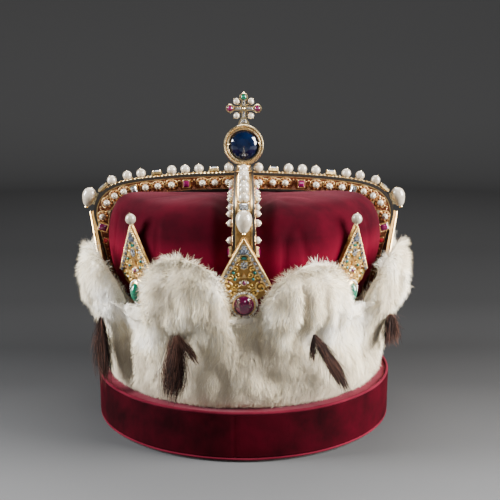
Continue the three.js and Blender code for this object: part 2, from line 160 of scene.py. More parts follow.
def velvet(name, deep, worn, sheen, weight, foot=None):
    """Short dense pile: a deep colour, lighter where the pile lies over, and a soft bright edge.

    foot is (colour, height in metres where it starts, height where it is full) for a foot painted lighter:
    painted light, standing for light thrown up from the white fur below.
    """
    paint = Paint(
        name, deep, Roughness=0.95, Specular_IOR_Level=0.04,
        Sheen_Weight=weight, Sheen_Roughness=0.3, Sheen_Tint=sheen,
    )
    large = paint.noise(28.0, 4.0, 0.6)
    fine = paint.noise(1500.0, 2.0, 0.7)
    streak = paint.noise(160.0, 3.0, 0.6, stretch=(1, 1, 0.25))
    base = paint.ramp(large, (0.35, deep), (0.72, worn))
    if foot:
        # painted light: the colour turns lighter towards the foot, as light thrown up from the fur
        light, start, full = foot
        base = paint.mixed(paint.range(paint.height("Z"), 0.8, 0.0, full, start), base, light)
    paint.look(Base_Color=paint.mixed(paint.range(streak, 0.0, 0.35), base, worn))
    return paint.bump((large, 0.25, 1.2), (streak, 0.18, 0.5), (fine, 0.5, 0.25))


def gold(name, color, dark, rough, bright=(0.95, 0.78, 0.48)):
    """Worked gold: brighter on the rubbed parts, brown in the dull ones, with tool marks."""
    paint = Paint(name, color, Metallic=1.0, Roughness=rough)
    wear = paint.noise(260.0, 4.0, 0.6)
    marks = paint.noise(1400.0, 2.0, 0.5)
    paint.look(
        Base_Color=paint.ramp(wear, (0.28, dark), (0.5, color), (0.8, bright)),
        Roughness=paint.range(marks, rough - 0.08, rough + 0.22),
    )
    return paint.bump((wear, 0.25, 0.3), (marks, 0.2, 0.08))


def gem(name, color, light, transmission, scale=120.0):
    """A stone: deep colour with lighter clouds inside and a hard polish."""
    paint = Paint(
        name, color, Roughness=0.04, IOR=1.72, Transmission_Weight=transmission,
        Coat_Weight=0.3, Coat_Roughness=0.02,
    )
    return paint.look(Base_Color=paint.ramp(paint.noise(scale, 5.0, 0.65), (0.3, color), (0.75, light)))


def painted_glint_stone(name, color, scale, dark, light, **values):
    """A stone too small for facets of its own: a painted pattern of dark and bright spots stands for the
    glints of its facets.
    """
    paint = Paint(name, color, **values)
    return paint.look(Base_Color=paint.ramp(paint.noise(scale), dark, light))


def grained(name, low, high, scale, rough):
    """A dull even material with a fine grain: board, felt, leather or silk."""
    paint = Paint(name, low, Roughness=rough)
    grain = paint.noise(scale, 4.0, 0.6)
    paint.look(Base_Color=paint.ramp(grain, (0.3, low), (0.7, high)))
    return paint.bump((grain, 0.4, 0.3))


def pearl_material():
    cream = (0.39, 0.335, 0.26)
    paint = Paint("pearl", cream, Roughness=0.2, IOR=1.6, Coat_Weight=0.8, Coat_Roughness=0.1)
    cloud = paint.noise(170.0, 3.0, 0.5)
    stops = (0.25, (0.24, 0.19, 0.13)), (0.5, cream), (0.8, (0.46, 0.42, 0.36))
    paint.look(Base_Color=paint.ramp(cloud, *stops))
    return paint.bump((paint.noise(420.0, 3.0, 0.5), 0.12, 0.25))


def enamel_material():
    """The arches' ground: brown-orange enamel between tiny gold grains."""
    paint = Paint("arch_enamel", (0.3, 0.1, 0.03), Metallic=0.55, Roughness=0.36)
    grain = paint.noise(700.0, 4.0, 0.7)
    tone = paint.noise(90.0, 2.0, 0.5)
    stops = (0.38, (0.025, 0.007, 0.004)), (0.55, (0.17, 0.042, 0.016)), (0.74, (0.6, 0.3, 0.11))
    ground = paint.ramp(grain, *stops)
    paint.look(Base_Color=paint.mixed(paint.range(tone, 0.0, 0.3), ground, (0.3, 0.08, 0.025)))
    return paint.bump((grain, 0.7, 0.35))


def rough_metal(name, color, metallic, rough, grain, strength, distance):
    """A plain dark metal; grain is the scale and detail of its noise."""
    paint = Paint(name, color, Metallic=metallic, Roughness=rough)
    return paint.bump((paint.noise(*grain), strength, distance))


# The cap's foot is painted lighter, as light thrown up from the white fur below.
CAP_VELVET = velvet(
    "cap_velvet", (0.014, 0.0003, 0.002), (0.05, 0.0008, 0.0055), (0.9, 0.3, 0.38), 0.08,
    foot=((0.21, 0.0035, 0.022), 0.16, 0.122),
)
STAND_VELVET = velvet(
    "stand_velvet", (0.003, 0.0001, 0.0004), (0.036, 0.0003, 0.0034), (1.0, 0.03, 0.12), 0.04,
)
# The stand's top: the same velvet as its side, painted lighter and pinker as the lit upward face.
LIT_TOP_VELVET = velvet("stand_velvet_top", (0.08, 0.006, 0.014), (0.15, 0.02, 0.032), (1.0, 0.55, 0.62), 0.3)
PIPING = velvet("velvet_piping", (0.06, 0.003, 0.009), (0.11, 0.009, 0.02), (1.0, 0.45, 0.5), 0.08)
FELT = grained("stand_felt", (0.012, 0.01, 0.01), (0.04, 0.03, 0.03), 900.0, 0.95)
BOARD = grained("stand_board", (0.35, 0.24, 0.13), (0.5, 0.36, 0.21), 400.0, 0.85)
LEATHER = grained("sweatband_leather", (0.18, 0.08, 0.04), (0.28, 0.14, 0.08), 600.0, 0.5)
SILK = grained("cap_silk", (0.5, 0.44, 0.31), (0.68, 0.61, 0.46), 1200.0, 0.45)
GOLD = gold("gold", (0.86, 0.6, 0.26), (0.42, 0.24, 0.08), 0.24)
PALE_GOLD = gold("pale_gold", (0.93, 0.74, 0.42), (0.6, 0.4, 0.18), 0.2)
YELLOW_GOLD = gold("yellow_gold", (0.9, 0.62, 0.17), (0.42, 0.24, 0.06), 0.3)
DULL_GOLD = gold("dull_gold", (0.3, 0.17, 0.055), (0.07, 0.03, 0.012), 0.42, (0.62, 0.42, 0.18))
COPPER = gold("copper_work", (0.62, 0.3, 0.12), (0.22, 0.08, 0.03), 0.34, (0.85, 0.52, 0.25))
BLACK_EDGE = rough_metal("blackened_edge", (0.035, 0.03, 0.025), 0.6, 0.42, (900.0,), 0.3, 0.15)
DARK_GROUND = rough_metal("pierced_ground", (0.3, 0.17, 0.05), 0.8, 0.45, (500.0, 4.0), 0.5, 0.4)
ENAMEL = enamel_material()
TEAL = Paint("teal_enamel", (0.003, 0.09, 0.07), Roughness=0.15, Coat_Weight=0.5).material
WHITE_ENAMEL = Paint("white_enamel", (0.8, 0.78, 0.74), Roughness=0.3).material
PEARL = pearl_material()
RUBY = gem("ruby", (0.06, 0.0006, 0.022), (0.22, 0.004, 0.08), 0.12)
RED_STONE = gem("red_stone", (0.2, 0.003, 0.01), (0.45, 0.012, 0.03), 0.3)
EMERALD = gem("emerald", (0.001, 0.06, 0.03), (0.006, 0.22, 0.12), 0.15)
SAPPHIRE = gem("sapphire", (0.0005, 0.0018, 0.009), (0.002, 0.008, 0.032), 0.0, scale=110.0)
# Diamonds: the base colour carries painted glints, dark and bright spots standing for facet flashes.
DIAMOND = painted_glint_stone(
    "diamond", (0.56, 0.57, 0.58), 900.0, (0.4, (0.06, 0.06, 0.065)), (0.62, (0.74, 0.74, 0.74)),
    Roughness=0.04, IOR=2.2, Metallic=0.7,
)
# Dark diamonds: painted glints as well, bright spots on a dark colour.
DARK_STONE = painted_glint_stone(
    "dark_diamond", (0.02, 0.025, 0.035), 700.0, (0.4, (0.01, 0.012, 0.018)), (0.65, (0.16, 0.18, 0.22)),
    Roughness=0.05, IOR=2.0,
)


# ---- mesh building -------------------------------------------------------------------------------


def smooth_step(low, high, x):
    t = np.clip((np.asarray(x, float) - low) / (high - low), 0, 1)
    return t * t * (3 - 2 * t)


LATTICE = np.random.default_rng(3).uniform(-1, 1, (16, 16, 16, 2))


def lumps(points, size, layer=0, shift=0.0):
    """Smooth random values between -1 and 1 at points (millimetres); lumps are about size across."""
    p = np.asarray(points, float) / size + 31.7 + shift
    cell = np.floor(p).astype(int)
    w = p - cell
    w = w * w * (3 - 2 * w)
    total = 0.0
    for corner in np.ndindex(2, 2, 2):
        at = (cell + corner) % 16
        share = np.prod(np.where(corner, w, 1 - w), -1)
        total = total + LATTICE[at[..., 0], at[..., 1], at[..., 2], layer] * share
    return total


def settle(piece, body, nodes):
    """Puts a new piece in the scene, on its body and the CAD nodes it replaces."""
    bpy.context.scene.collection.objects.link(piece)
    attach(piece, body)
    if nodes:
        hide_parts(*nodes)


def new_mesh(name, points, loops, starts, paint, materials):
    """A mesh from points in millimetres, its corners, where each face starts and each face's material."""
    mesh = bpy.data.meshes.new(name)
    mesh.vertices.add(len(points))
    mesh.vertices.foreach_set("co", (points * MM).astype(np.float32).ravel())
    mesh.loops.add(len(loops))
    mesh.loops.foreach_set("vertex_index", loops.astype(np.int32))
    mesh.polygons.add(len(starts))
    mesh.polygons.foreach_set("loop_start", starts.astype(np.int32))
    mesh.polygons.foreach_set("material_index", paint.astype(np.int32))
    mesh.update(calc_edges=True)
    for material in materials:
        mesh.materials.append(material)
    return mesh


class Pile:
    """Gathers simple shapes in millimetres and makes one piece of them."""

    def __init__(self, paint):
        self.usual = paint
        self.materials = []
        self.points = []
        self.faces = {3: [], 4: []}
        self.paint = {3: [], 4: []}
        self.count = 0

    def add(self, shape, place=None, paint=None):
        """A shape is its points and one or two arrays of faces; place is a matrix."""
        paint = paint or self.usual
        if paint not in self.materials:
            self.materials.append(paint)
        points, *groups = shape
        points = np.asarray(points, float)
        if place is not None:
            grid = np.array(place)
            points = points @ grid[:3, :3].T + grid[:3, 3]
        for faces in groups:
            if len(faces):
                faces = np.asarray(faces, np.int64)
                size = faces.shape[1]
                self.faces[size].append(faces + self.count)
                self.paint[size].append(np.full(len(faces), self.materials.index(paint)))
        self.points.append(points)
        self.count += len(points)
        return self

    def stamp(self, place):
        """The same pile again at another place."""
        grid = np.array(place)
        made = Pile(self.usual)
        made.points = [p @ grid[:3, :3].T + grid[:3, 3] for p in self.points]
        made.faces = {size: list(faces) for size, faces in self.faces.items()}
        made.paint = {size: list(paint) for size, paint in self.paint.items()}
        made.materials = list(self.materials)
        made.count = self.count
        return made

    def build(self, name, body, slot, nodes=(), sharp=0, flat=False):
        loops, starts, paint, total = [], [], [], 0
        for size in (3, 4):
            if self.faces[size]:
                faces = np.concatenate(self.faces[size])
                loops.append(faces.ravel())
                starts.append(total + np.arange(len(faces)) * size)
                paint.append(np.concatenate(self.paint[size]))
                total += faces.size
        lists = (np.concatenate(part) for part in (self.points, loops, starts, paint))
        mesh = new_mesh(name, *lists, self.materials)
        mesh.validate()
        if flat:
            mesh.shade_flat()
        else:
            mesh.shade_smooth()
            if sharp:
                mesh.set_sharp_from_angle(angle=math.radians(sharp))
        settle(bpy.data.objects.new(name, mesh), body, nodes)


def single(name, body, paint, slot, node, shape, place=None, sharp=0, flat=False):
    """A piece that is one shape of one material and replaces one CAD node."""
    Pile(paint).add(shape, place).build(name, body, slot, [node], sharp, flat)


def grid_faces(rows, columns, round_columns=False, round_rows=False):
    """Quads over a grid of points that is stored row by row."""
    a = np.arange(rows if round_rows else rows - 1)[:, None]
    b = np.arange(columns if round_columns else columns - 1)[None, :]
    a2 = (a + 1) % rows
    b2 = (b + 1) % columns
    quads = [a * columns + b, a * columns + b2, a2 * columns + b2, a2 * columns + b]
    return np.stack([q.ravel() for q in np.broadcast_arrays(*quads)], 1)


@lru_cache(maxsize=None)
def lathe_cached(profile, sides, squeeze):
    points = np.concatenate([circle(r, sides, z) for r, z in profile]) * [1, squeeze, 1]
    quads = grid_faces(len(profile), sides, round_columns=True)
    flat = (points[quads[:, 0]] == points[quads[:, 1]]).all(1)
    flat_top = (points[quads[:, 2]] == points[quads[:, 3]]).all(1)
    fans = np.concatenate([quads[flat][:, [0, 2, 3]], quads[flat_top][:, [0, 1, 2]]])
    return points, fans, quads[~flat & ~flat_top]


def lathe(profile, sides=16, squeeze=1.0):
    """A turned shape about z from (radius, height) pairs, bottom first."""
    return lathe_cached(tuple(map(tuple, profile)), sides, squeeze)


def ball(radius, sides=14, rings=9, stretch=1.0):
    bend = np.linspace(-math.pi / 2, math.pi / 2, rings)
    profile = [(0 if abs(a) > 1.57 else radius * math.cos(a), radius * stretch * math.sin(a)) for a in bend]
    return lathe(profile, sides)


def circle(radius, count, z=0.0):
    """Points round the z axis from +X; front_circle starts at the front."""
    turn = np.arange(count) / count * TURN
    return np.stack([radius * np.cos(turn), radius * np.sin(turn), turn * 0 + z], 1)


def front_circle(radius, count, z=0.0):
    turn = np.arange(count) / count * TURN
    return np.stack([radius * np.sin(turn), -radius * np.cos(turn), turn * 0 + z], 1)


def rectangle(x, y):
    """The corners of a rectangle from half its width and half its height."""
    return [(-x, -y), (x, -y), (x, y), (-x, y)]


def block(width, depth, height, inset=0.0):
    """A box from z = 0 up, with its top drawn in by inset."""
    w, d = width / 2, depth / 2
    points = [(x, y, 0) for x, y in rectangle(w, d)]
    points += [(x, y, height) for x, y in rectangle(w - inset, d - inset)]
    quads = [(3, 2, 1, 0), (4, 5, 6, 7), (0, 1, 5, 4), (1, 2, 6, 5), (2, 3, 7, 6), (3, 0, 4, 7)]
    return points, quads


def wall(n, low, high):
    """Quads between two rings of n points, from the numbers of their first points."""
    k = np.arange(n)
    after = (k + 1) % n
    return np.stack([k + low, after + low, after + high, k + high], 1)


def fan(n, first, middle, under=False):
    """Triangles from a ring of n points to one point."""
    k = np.arange(n)
    pair = [k + first, (k + 1) % n + first]
    return np.stack([*(pair[::-1] if under else pair), np.full(n, middle)], 1)


def slab(outline, low, high, inset=0.0):
    """A flat plate of any convex or star-shaped outline, its top edge drawn in by inset."""
    outline = np.array(outline, float)
    middle = outline.mean(0)
    n = len(outline)
    away = outline - middle
    length = np.linalg.norm(away, axis=1, keepdims=True)
    top = middle + away * (1 - inset / np.maximum(length, 0.01))
    points = [(*p, low) for p in outline] + [(*p, high) for p in top]
    points += [(*middle, low), (*middle, high)]
    ends = np.concatenate([fan(n, 0, 2 * n, under=True), fan(n, n, 2 * n + 1)])
    return points, ends, wall(n, 0, n)


def ngon(sides, radius, squeeze=1.0):
    turn = np.arange(sides) / sides * TURN
    return np.stack([radius * np.cos(turn), radius * np.sin(turn) * squeeze], 1)


def cut_stone(outline, height, table=0.55):
    """A table-cut stone: a girdle, a sloping crown and a flat table."""
    outline = np.array(outline, float)
    middle = outline.mean(0)
    inner = middle + (outline - middle) * table
    n = len(outline)
    points = [(*p, 0) for p in outline] + [(*p, height * 0.3) for p in outline]
    points += [(*p, height) for p in inner] + [(*middle, height), (*middle, 0)]
    ends = np.concatenate([fan(n, 2 * n, 3 * n), fan(n, 0, 3 * n + 1, under=True)])
    return points, ends, np.concatenate([wall(n, 0, n), wall(n, n, 2 * n)])


def tube(path, radius, sides=6, closed=False):
    """A round wire along points."""
    path = np.array(path, float)
    n = len(path)
    steps = np.roll(path, -1, 0) - np.roll(path, 1, 0) if closed else np.gradient(path, axis=0)
    ahead = unit(steps)
    up = np.array([0.0, 0.0, 1.0]) if abs(ahead[:, 2]).mean() < 0.8 else np.array([0.0, 1.0, 0.0])
    side = unit(np.cross(ahead, up))
    top = np.cross(side, ahead)
    turn = (np.arange(sides) / sides * TURN)[:, None]
    rings = path[:, None] + radius * np.cos(turn) * side[:, None] + radius * np.sin(turn) * top[:, None]
    points = rings.reshape(-1, 3)
    quads = grid_faces(n, sides, round_columns=True, round_rows=closed)
    if closed:
        return points, quads
    points = np.concatenate([points, path[:1], path[-1:]])
    start = fan(sides, 0, n * sides, under=True)
    end = fan(sides, (n - 1) * sides, n * sides + 1)
    return points, np.concatenate([start, end]), quads


def spline(points, t):
    """A smooth line through points, at t from 0 to 1."""
    points = np.array(points, float)
    t = np.atleast_1d(np.asarray(t, float)) * (len(points) - 1)
    k = np.clip(t.astype(int), 0, len(points) - 2)
    w = (t - k)[:, None]
    p0, p1 = points[np.maximum(k - 1, 0)], points[k]
    p2, p3 = points[k + 1], points[np.minimum(k + 2, len(points) - 1)]
    v0, v1 = (p2 - p0) / 2, (p3 - p1) / 2
    return (2 * p1 - 2 * p2 + v0 + v1) * w**3 + (-3 * p1 + 3 * p2 - 2 * v0 - v1) * w**2 + v0 * w + p1


# A shape made upright stands out of a face with this turn.
OUT = Matrix.Rotation(math.radians(90), 4, "X")


def move(x=0.0, y=0.0, z=0.0):
    return Matrix.Translation((x, y, z))


def spin(angle, axis="Z"):
    return Matrix.Rotation(angle, 4, axis)


def bay(azimuth):
    return spin(math.radians(azimuth))


def plate_face(azimuth, lean):
    """The front of a fleuron's plate: x across, y up the plate, z outwards."""
    back = bay(azimuth) @ move(0, -PLATE_BACK, PLATE_BASE_Z) @ spin(lean, "X")
    return back @ move(0, -PLATE_THICKNESS, 0) @ OUT


# ---- stage, camera and lights --------------------------------------------------------------------

WALL_RADIUS = 2000.0
WALL_BEND = 500.0
WALL_HEIGHT = 3200.0

# The paper's colour from the front to the back wall, by share of the way from -0.25 m to 1.75 m: painted
# light falloff, lightest at the front, darkest in the middle, a little lighter at the wall.
PAINTED_FALLOFF = (
    (0.03, 0.094), (0.15, 0.035), (0.205, 0.023), (0.3, 0.0175), (0.46, 0.019), (0.875, 0.037), (1.0, 0.041),
)


def build_stage():
    """A round floor that curves up into a wall all the way round, open above, its colour painted darker away
    from the front as light falling off.
    """
    paint = Paint("paper", (0.3, 0.3, 0.305), Roughness=0.9, Specular_IOR_Level=0.0)
    # painted shade: the colour follows the distance back from the front, as light falling off
    fade = paint.range(paint.height("Y"), 0.0, 1.0, -0.25, 1.75)
    stops = [(place, (shade, shade, shade * 1.02)) for place, shade in PAINTED_FALLOFF]
    paint.look(Base_Color=paint.ramp(fade, *stops))
    floor_edge = WALL_RADIUS - WALL_BEND
    profile = [(r, 0.0) for r in (1.0, 500.0, 1000.0, floor_edge)]
    for a in np.linspace(0, math.pi / 2, 14)[1:]:
        profile.append((floor_edge + WALL_BEND * math.sin(a), WALL_BEND - WALL_BEND * math.cos(a)))
    profile.append((WALL_RADIUS, WALL_HEIGHT))
    columns = 96
    points = np.concatenate([front_circle(r, columns, z) for r, z in profile]) * MM
    faces = grid_faces(len(profile), columns, round_columns=True).tolist() + [list(range(columns))]
    mesh = bpy.data.meshes.new("floor")
    mesh.from_pydata(points.tolist(), [], faces)
    mesh.shade_smooth()
    mesh.materials.append(paint.material)
    floor = bpy.data.objects.new("floor", mesh)
    bpy.context.scene.collection.objects.link(floor)


def soft_light(name, place, aim, size, power, color=(1, 1, 1)):
    light = bpy.data.lights.new(name, "AREA")
    light.shape = "RECTANGLE"
    light.size, light.size_y = size
    light.energy = power
    light.color = color
    lamp = bpy.data.objects.new(name, light)
    lamp.location = place
    lamp.rotation_euler = (Vector(aim) - Vector(place)).to_track_quat("-Z", "Y").to_euler()
    bpy.context.scene.collection.objects.link(lamp)


# The photo's view: where the camera is, in metres, how far it looks down and how far to the right.
CAMERA_PLACE = (0.0, -0.72, 0.2742)
CAMERA_DOWN = 11.14
CAMERA_RIGHT = 0.4
LENS = 64.3


def build_camera_and_lights():
    camera = bpy.data.cameras.new("camera")
    camera.sensor_width = 36.0
    camera.lens = LENS
    seat = bpy.data.objects.new("camera", camera)
    seat.location = CAMERA_PLACE
    seat.rotation_euler = (math.radians(90 - CAMERA_DOWN), 0.0, math.radians(-CAMERA_RIGHT))
    bpy.context.scene.collection.objects.link(seat)
    bpy.context.scene.camera = seat
    world = bpy.data.worlds.new("world")
    world.use_nodes = True
    sky = world.node_tree.nodes["Background"].inputs
    sky["Color"].default_value = (0.5, 0.51, 0.53, 1)
    sky["Strength"].default_value = 0.07
    bpy.context.scene.world = world
    middle = (0.0, 0.0, 0.13)
    soft_light("key", (1.1, -0.34, 0.6), middle, (0.7, 0.9), 102.0, (1.0, 0.985, 0.96))
    soft_light("fill", (-1.1, -0.2, 0.62), middle, (0.35, 0.8), 60.0, (0.97, 0.985, 1.0))
    soft_light("top", (0.1, 0.55, 1.15), middle, (0.8, 0.5), 17.0)
    soft_light("front", (0.25, -1.3, 0.7), middle, (0.25, 0.3), 2.5)


# ---- stand ---------------------------------------------------------------------------------------


def ring_of(profile, sides, wobble=0.0, seed=0.0, seam=None):
    """A turned skin with slight unevenness, as cloth over board has."""
    turn = np.arange(sides) / sides * TURN
    points = []
    for r, z in profile:
        push = wobble * lumps(circle(r, sides, z), 50.0, 0, seed)
        if seam is not None:
            gap = (turn - seam + math.pi) % TURN - math.pi
            push = push - 0.7 * np.exp(-((gap * STAND_RADIUS / 1.1) ** 2))
        points.append(front_circle(r + push, sides, z))
    return np.concatenate(points), grid_faces(len(profile), sides, True, True)


def rounded_bar(inner, outer, low, high, r, steps=4):
    """The outline of a rounded upright wall, as (radius, height) pairs, going round."""
    outline = []
    corners = ((outer - r, low + r), (outer - r, high - r), (inner + r, high - r), (inner + r, low + r))
    for quarter, (x, z) in enumerate(corners):
        for k in range(steps + 1):
            a = math.radians(90 * (quarter - 1) + 90 * k / steps)
            outline.append((x + r * math.cos(a), z + r * math.sin(a)))
    return outline


def build_stand():
    wall = rounded_bar(STAND_RADIUS - 3, STAND_RADIUS, FOOT_Z + 1.0, RIM_Z - 0.9, 0.9)
    skin = ring_of(wall, 360, 0.35, 3.0, seam=math.radians(-3))
    single("stand_velvet_wrap", "stand", STAND_VELVET, "stand_velvet", "stand_velvet_side", skin)

    columns = 192
    radii = np.concatenate([[0.5], np.linspace(12, 96, 8), np.linspace(99, 117.4, 14)])
    rows = [front_circle(r, columns, LEDGE_Z - 0.55) for r in radii]
    for row in rows:
        row[:, 2] += 0.4 * lumps(row, 17.0) + 0.25 * lumps(row, 6.0, 1)
    rows += [front_circle(r, columns, LEDGE_Z - 2.5) for r in (117.6, 0.5)]
    ledge = np.concatenate(rows), grid_faces(len(rows), columns, True, True)
    node = slot = "stand_velvet_top"
    single("stand_velvet_ledge", "stand", LIT_TOP_VELVET, slot, node, ledge, sharp=60)

    for name, z, thick in (("rim", RIM_Z, 1.15), ("foot", FOOT_Z, 0.95)):
        path = front_circle(STAND_RADIUS - 1.25, 240, z)
        path[:, 2] += 0.25 * lumps(path, 22.0)
        cord = tube(path, thick, 10, closed=True)
        single(f"stand_{name}_cord", "stand", PIPING, "velvet_piping", f"stand_{name}_piping", cord)

    low, high = box_mm("stand_felt_base")
    felt = [(0, low[2]), (high[0] - 0.4, low[2]), (high[0], low[2] + 0.4)]
    felt += [(high[0], high[2] - 0.2), (0, high[2])]
    single("stand_felt", "stand", FELT, "stand_felt", "stand_felt_base", lathe(felt, 128), sharp=35)
    low, high = box_mm("stand_drum")
    drum = [(0, low[2]), (high[0], low[2]), (high[0], high[2]), (0, high[2])]
    single("stand_board_drum", "stand", BOARD, "stand_board", "stand_drum", lathe(drum, 128), sharp=35)
    low, high = box_mm("stand_former")
    former = [(0, low[2]), (high[0], low[2])]
    for a in np.linspace(0, math.pi / 2, 8):
        former.append((high[0] - 9 + 9 * math.cos(a), high[2] - 9 + 9 * math.sin(a)))
    former = lathe(former + [(40, high[2]), (0, high[2])], 128)
    single("stand_former_padded", "stand", LIT_TOP_VELVET, "stand_velvet_top", "stand_former", former, sharp=35)


# ---- headband and cap ----------------------------------------------------------------------------

CAP_PRESSED = [
    (96.7, 80), (96.7, 103), (102.5, 118), (105.8, 134), (105.9, 152),
    (102.4, 165), (94.5, 172), (80, 175.9), (50, 180), (2, 181.9),
]
CAP_FREE = [
    (96.7, 80), (96.7, 103), (104, 118), (108.5, 134), (109.5, 152),
    (107, 167), (100.5, 177.4), (88, 183), (58, 184), (2, 181.9),
]


def cap_point(t, turn):
    """The cap's outer face at t up its profile and an azimuth in radians, all arrays."""
    pressed = spline(CAP_PRESSED, t)
    free = spline(CAP_FREE, t)
    near = np.minimum(abs(np.sin(turn)), abs(np.cos(turn)))
    puff = smooth_step(8.5, 22, pressed[:, :1] * near[None, :])
    r = pressed[:, :1] * (1 - puff) + free[:, :1] * puff
    z = pressed[:, 1:] * (1 - puff) + free[:, 1:] * puff
    return r, z


def cap_shape():
    """The cap's two faces: pressed flat under the arches, gathered at its foot, creased between."""
    rows, columns = 84, 288
    turn = np.arange(columns) / columns * TURN
    r, z = cap_point(np.linspace(0, 1, rows), turn)
    points = np.stack([r * np.sin(turn), -r * np.cos(turn), z], -1)
    ahead = np.gradient(points, axis=0)
    across = np.roll(points, -1, 1) - np.roll(points, 1, 1)
    normal = unit(np.cross(across, ahead))
    near = np.minimum(abs(np.sin(turn)), abs(np.cos(turn)))
    level = z.mean(1, keepdims=True)
    gather = smooth_step(150, 108, level)
    rim = np.exp(-(((level - 178) / 9.0) ** 2))
    give = smooth_step(7.6, 16, r * near)
    upright = np.stack([r * np.sin(turn) * 0.9, r * np.cos(turn) * 0.9, z * 0.16], -1)
    soft = lumps(points, 34.0) + 0.5 * lumps(points, 14.0, 1)
    crease = np.exp(-((lumps(upright * [1, 1, 2.2], 26.0, 1, 4.0) / 0.07) ** 2))
    push = give * (soft + gather * (1.2 * lumps(upright, 15.0) + 0.8 * lumps(upright, 6.5, 1)))
    push -= give * crease * (1 - rim) * 1.3
    push[0:6] *= np.linspace(0, 1, 6)[:, None]
    push[-6:] *= np.linspace(1, 0, 6)[:, None]
    outer = points + normal * push[..., None]
    inner = points - normal * 1.2
    both = np.concatenate([outer, inner[::-1]])
    return both.reshape(-1, 3), grid_faces(rows * 2, columns, True, True)


def build_cap():
    single("cap_of_velvet", "crown", CAP_VELVET, "cap_velvet", "velvet_cap", cap_shape())
    skin = spline(CAP_PRESSED, np.linspace(0, 1, 40))
    slope = smooth_step(142, 181, skin[:, 1]) * math.pi / 2
    way = np.stack([np.cos(slope), np.sin(slope)], 1)
    lining = np.concatenate([skin - way * 2.8, (skin - way * 3.8)[::-1]])
    lining[:, 0] = np.maximum(lining[:, 0], 2)
    single("cap_silk_lining", "crown", SILK, "cap_silk", "cap_lining", ring_of(lining, 160))
    band = rounded_bar(CIRCLET_RADIUS - 1.2, CIRCLET_RADIUS, CROWN_BOTTOM, CIRCLET_TOP, 0.5, 3)
    single("circlet_band", "crown", GOLD, "gold", "circlet", ring_of(band, 192), sharp=35)
    low, high = box_mm("sweatband")
    leather = ring_of(rounded_bar(high[0] - 1.7, high[0], low[2], high[2], 0.7, 3), 192, 0.1)
    single("sweatband_of_leather", "crown", LEATHER, "sweatband_leather", "sweatband", leather)


# ---- arches --------------------------------------------------------------------------------------

ARCH_OUTER = [
    (7.7, 196.6), (45, 195.3), (82, 192), (104, 187.2), (116.2, 178.4),
    (120.6, 165), (116.4, 146.5), (111.1, 125), (104.2, 97),
]
ARCH_INNER = [
    (7.7, 183), (45, 181.6), (80, 178.4), (94, 175), (103.4, 168.4),
    (107.2, 159.4), (107.6, 144), (105.2, 124), (98.9, 97),
]
# Where things sit along an arch, by their distance from the crown's middle.
TOP_PEARLS = [11.8, 36, 47, 57.8, 82.4, 93.3, 105.2]
TOP_BOXES = [24, 70]
SIDE_PEARLS = [12.5, 23, 33, 58, 69, 79.5, 100.5, 109.5, 116.5]
SIDE_BOXES = [(46, RUBY), (90, DIAMOND)]
SHOULDER_REACH = 120.5
# Bars along both edges: from and to across the arch, from and to as shares of its depth, how proud, paint.
ARCH_RAILS = (
    (6.0, 7.65, 0.0, 0.12, 0.35, BLACK_EDGE), (5.3, 5.8, 0.0, 0.12, 0.1, GOLD),
    (6.1, 7.1, 0.1, 1.0, 0.0, ENAMEL), (6.6, 7.5, 0.9, 1.0, 0.0, BLACK_EDGE),
    (6.8, 7.35, 0.14, 0.19, 0.0, GOLD), (6.8, 7.35, 0.86, 0.91, 0.0, GOLD),
)
DROP_PLACE = (0, -125.6, 176.4)
DROP_LEAN = -0.28
DROP_PEARL = [
    (0, -8.0), (1.8, -7.5), (3.2, -6.0), (4.6, -3.2), (5.5, 0.0),
    (5.6, 2.4), (5.0, 4.8), (3.4, 6.8), (1.4, 7.8), (0, 7.95),
]


def arch_at(r):
    """How far along the arch, from 0 to 1, its outer edge first reaches a radius."""
    t = np.linspace(0, 0.62, 400)
    return float(np.interp(r, spline(ARCH_OUTER, t)[:, 0], t))


def arch_face(t):
    """On the arch's outer face: x across, y back along the arch, z out of it."""
    here, ahead = spline(ARCH_OUTER, [t, t + 0.004])
    way = Vector(ahead - here).normalized()
    out = Vector((0, way.y, way.x))
    across = Vector((1, 0, 0))
    up = out.cross(across)
    grid = Matrix((across, up, out)).transposed().to_4x4()
    grid.translation = (0, -here[0], here[1])
    return grid


def arch_side(t, depth, hand):
    """On a side of the arch: z out of it, y towards the outer edge; hand is 1 or -1."""
    outer = Vector(spline(ARCH_OUTER, t)[0])
    inner = Vector(spline(ARCH_INNER, t)[0])
    place = outer.lerp(inner, depth)
    up = (outer - inner).normalized()
    y = Vector((0, -up.x, up.y))
    z = Vector((hand, 0, 0))
    grid = Matrix((y.cross(z), y, z)).transposed().to_4x4()
    grid.translation = (hand * ARCH_HALF, -place.x, place.y)
    return grid


ARCH_STEPS = 64


def rail(low_x, high_x, depth_a, depth_b, proud=0.0):
    """A bar that follows the arch, between two distances across and two shares of its depth."""
    t = np.linspace(0.0, 1.0, ARCH_STEPS)
    outer, inner = spline(ARCH_OUTER, t), spline(ARCH_INNER, t)
    a = outer + (inner - outer) * depth_a + unit(outer - inner) * proud
    b = outer + (inner - outer) * depth_b
    ring = [(low_x, a), (high_x, a), (high_x, b), (low_x, b)]
    points = np.stack([np.stack([t * 0 + x, -p[:, 0], p[:, 1]], 1) for x, p in ring], 1)
    quads = grid_faces(ARCH_STEPS, 4, round_columns=True)[:, ::-1]
    end = (ARCH_STEPS - 1) * 4
    caps = np.array([(0, 1, 2, 3), (end + 3, end + 2, end + 1, end)])
    return points.reshape(-1, 3), np.concatenate([quads, caps])


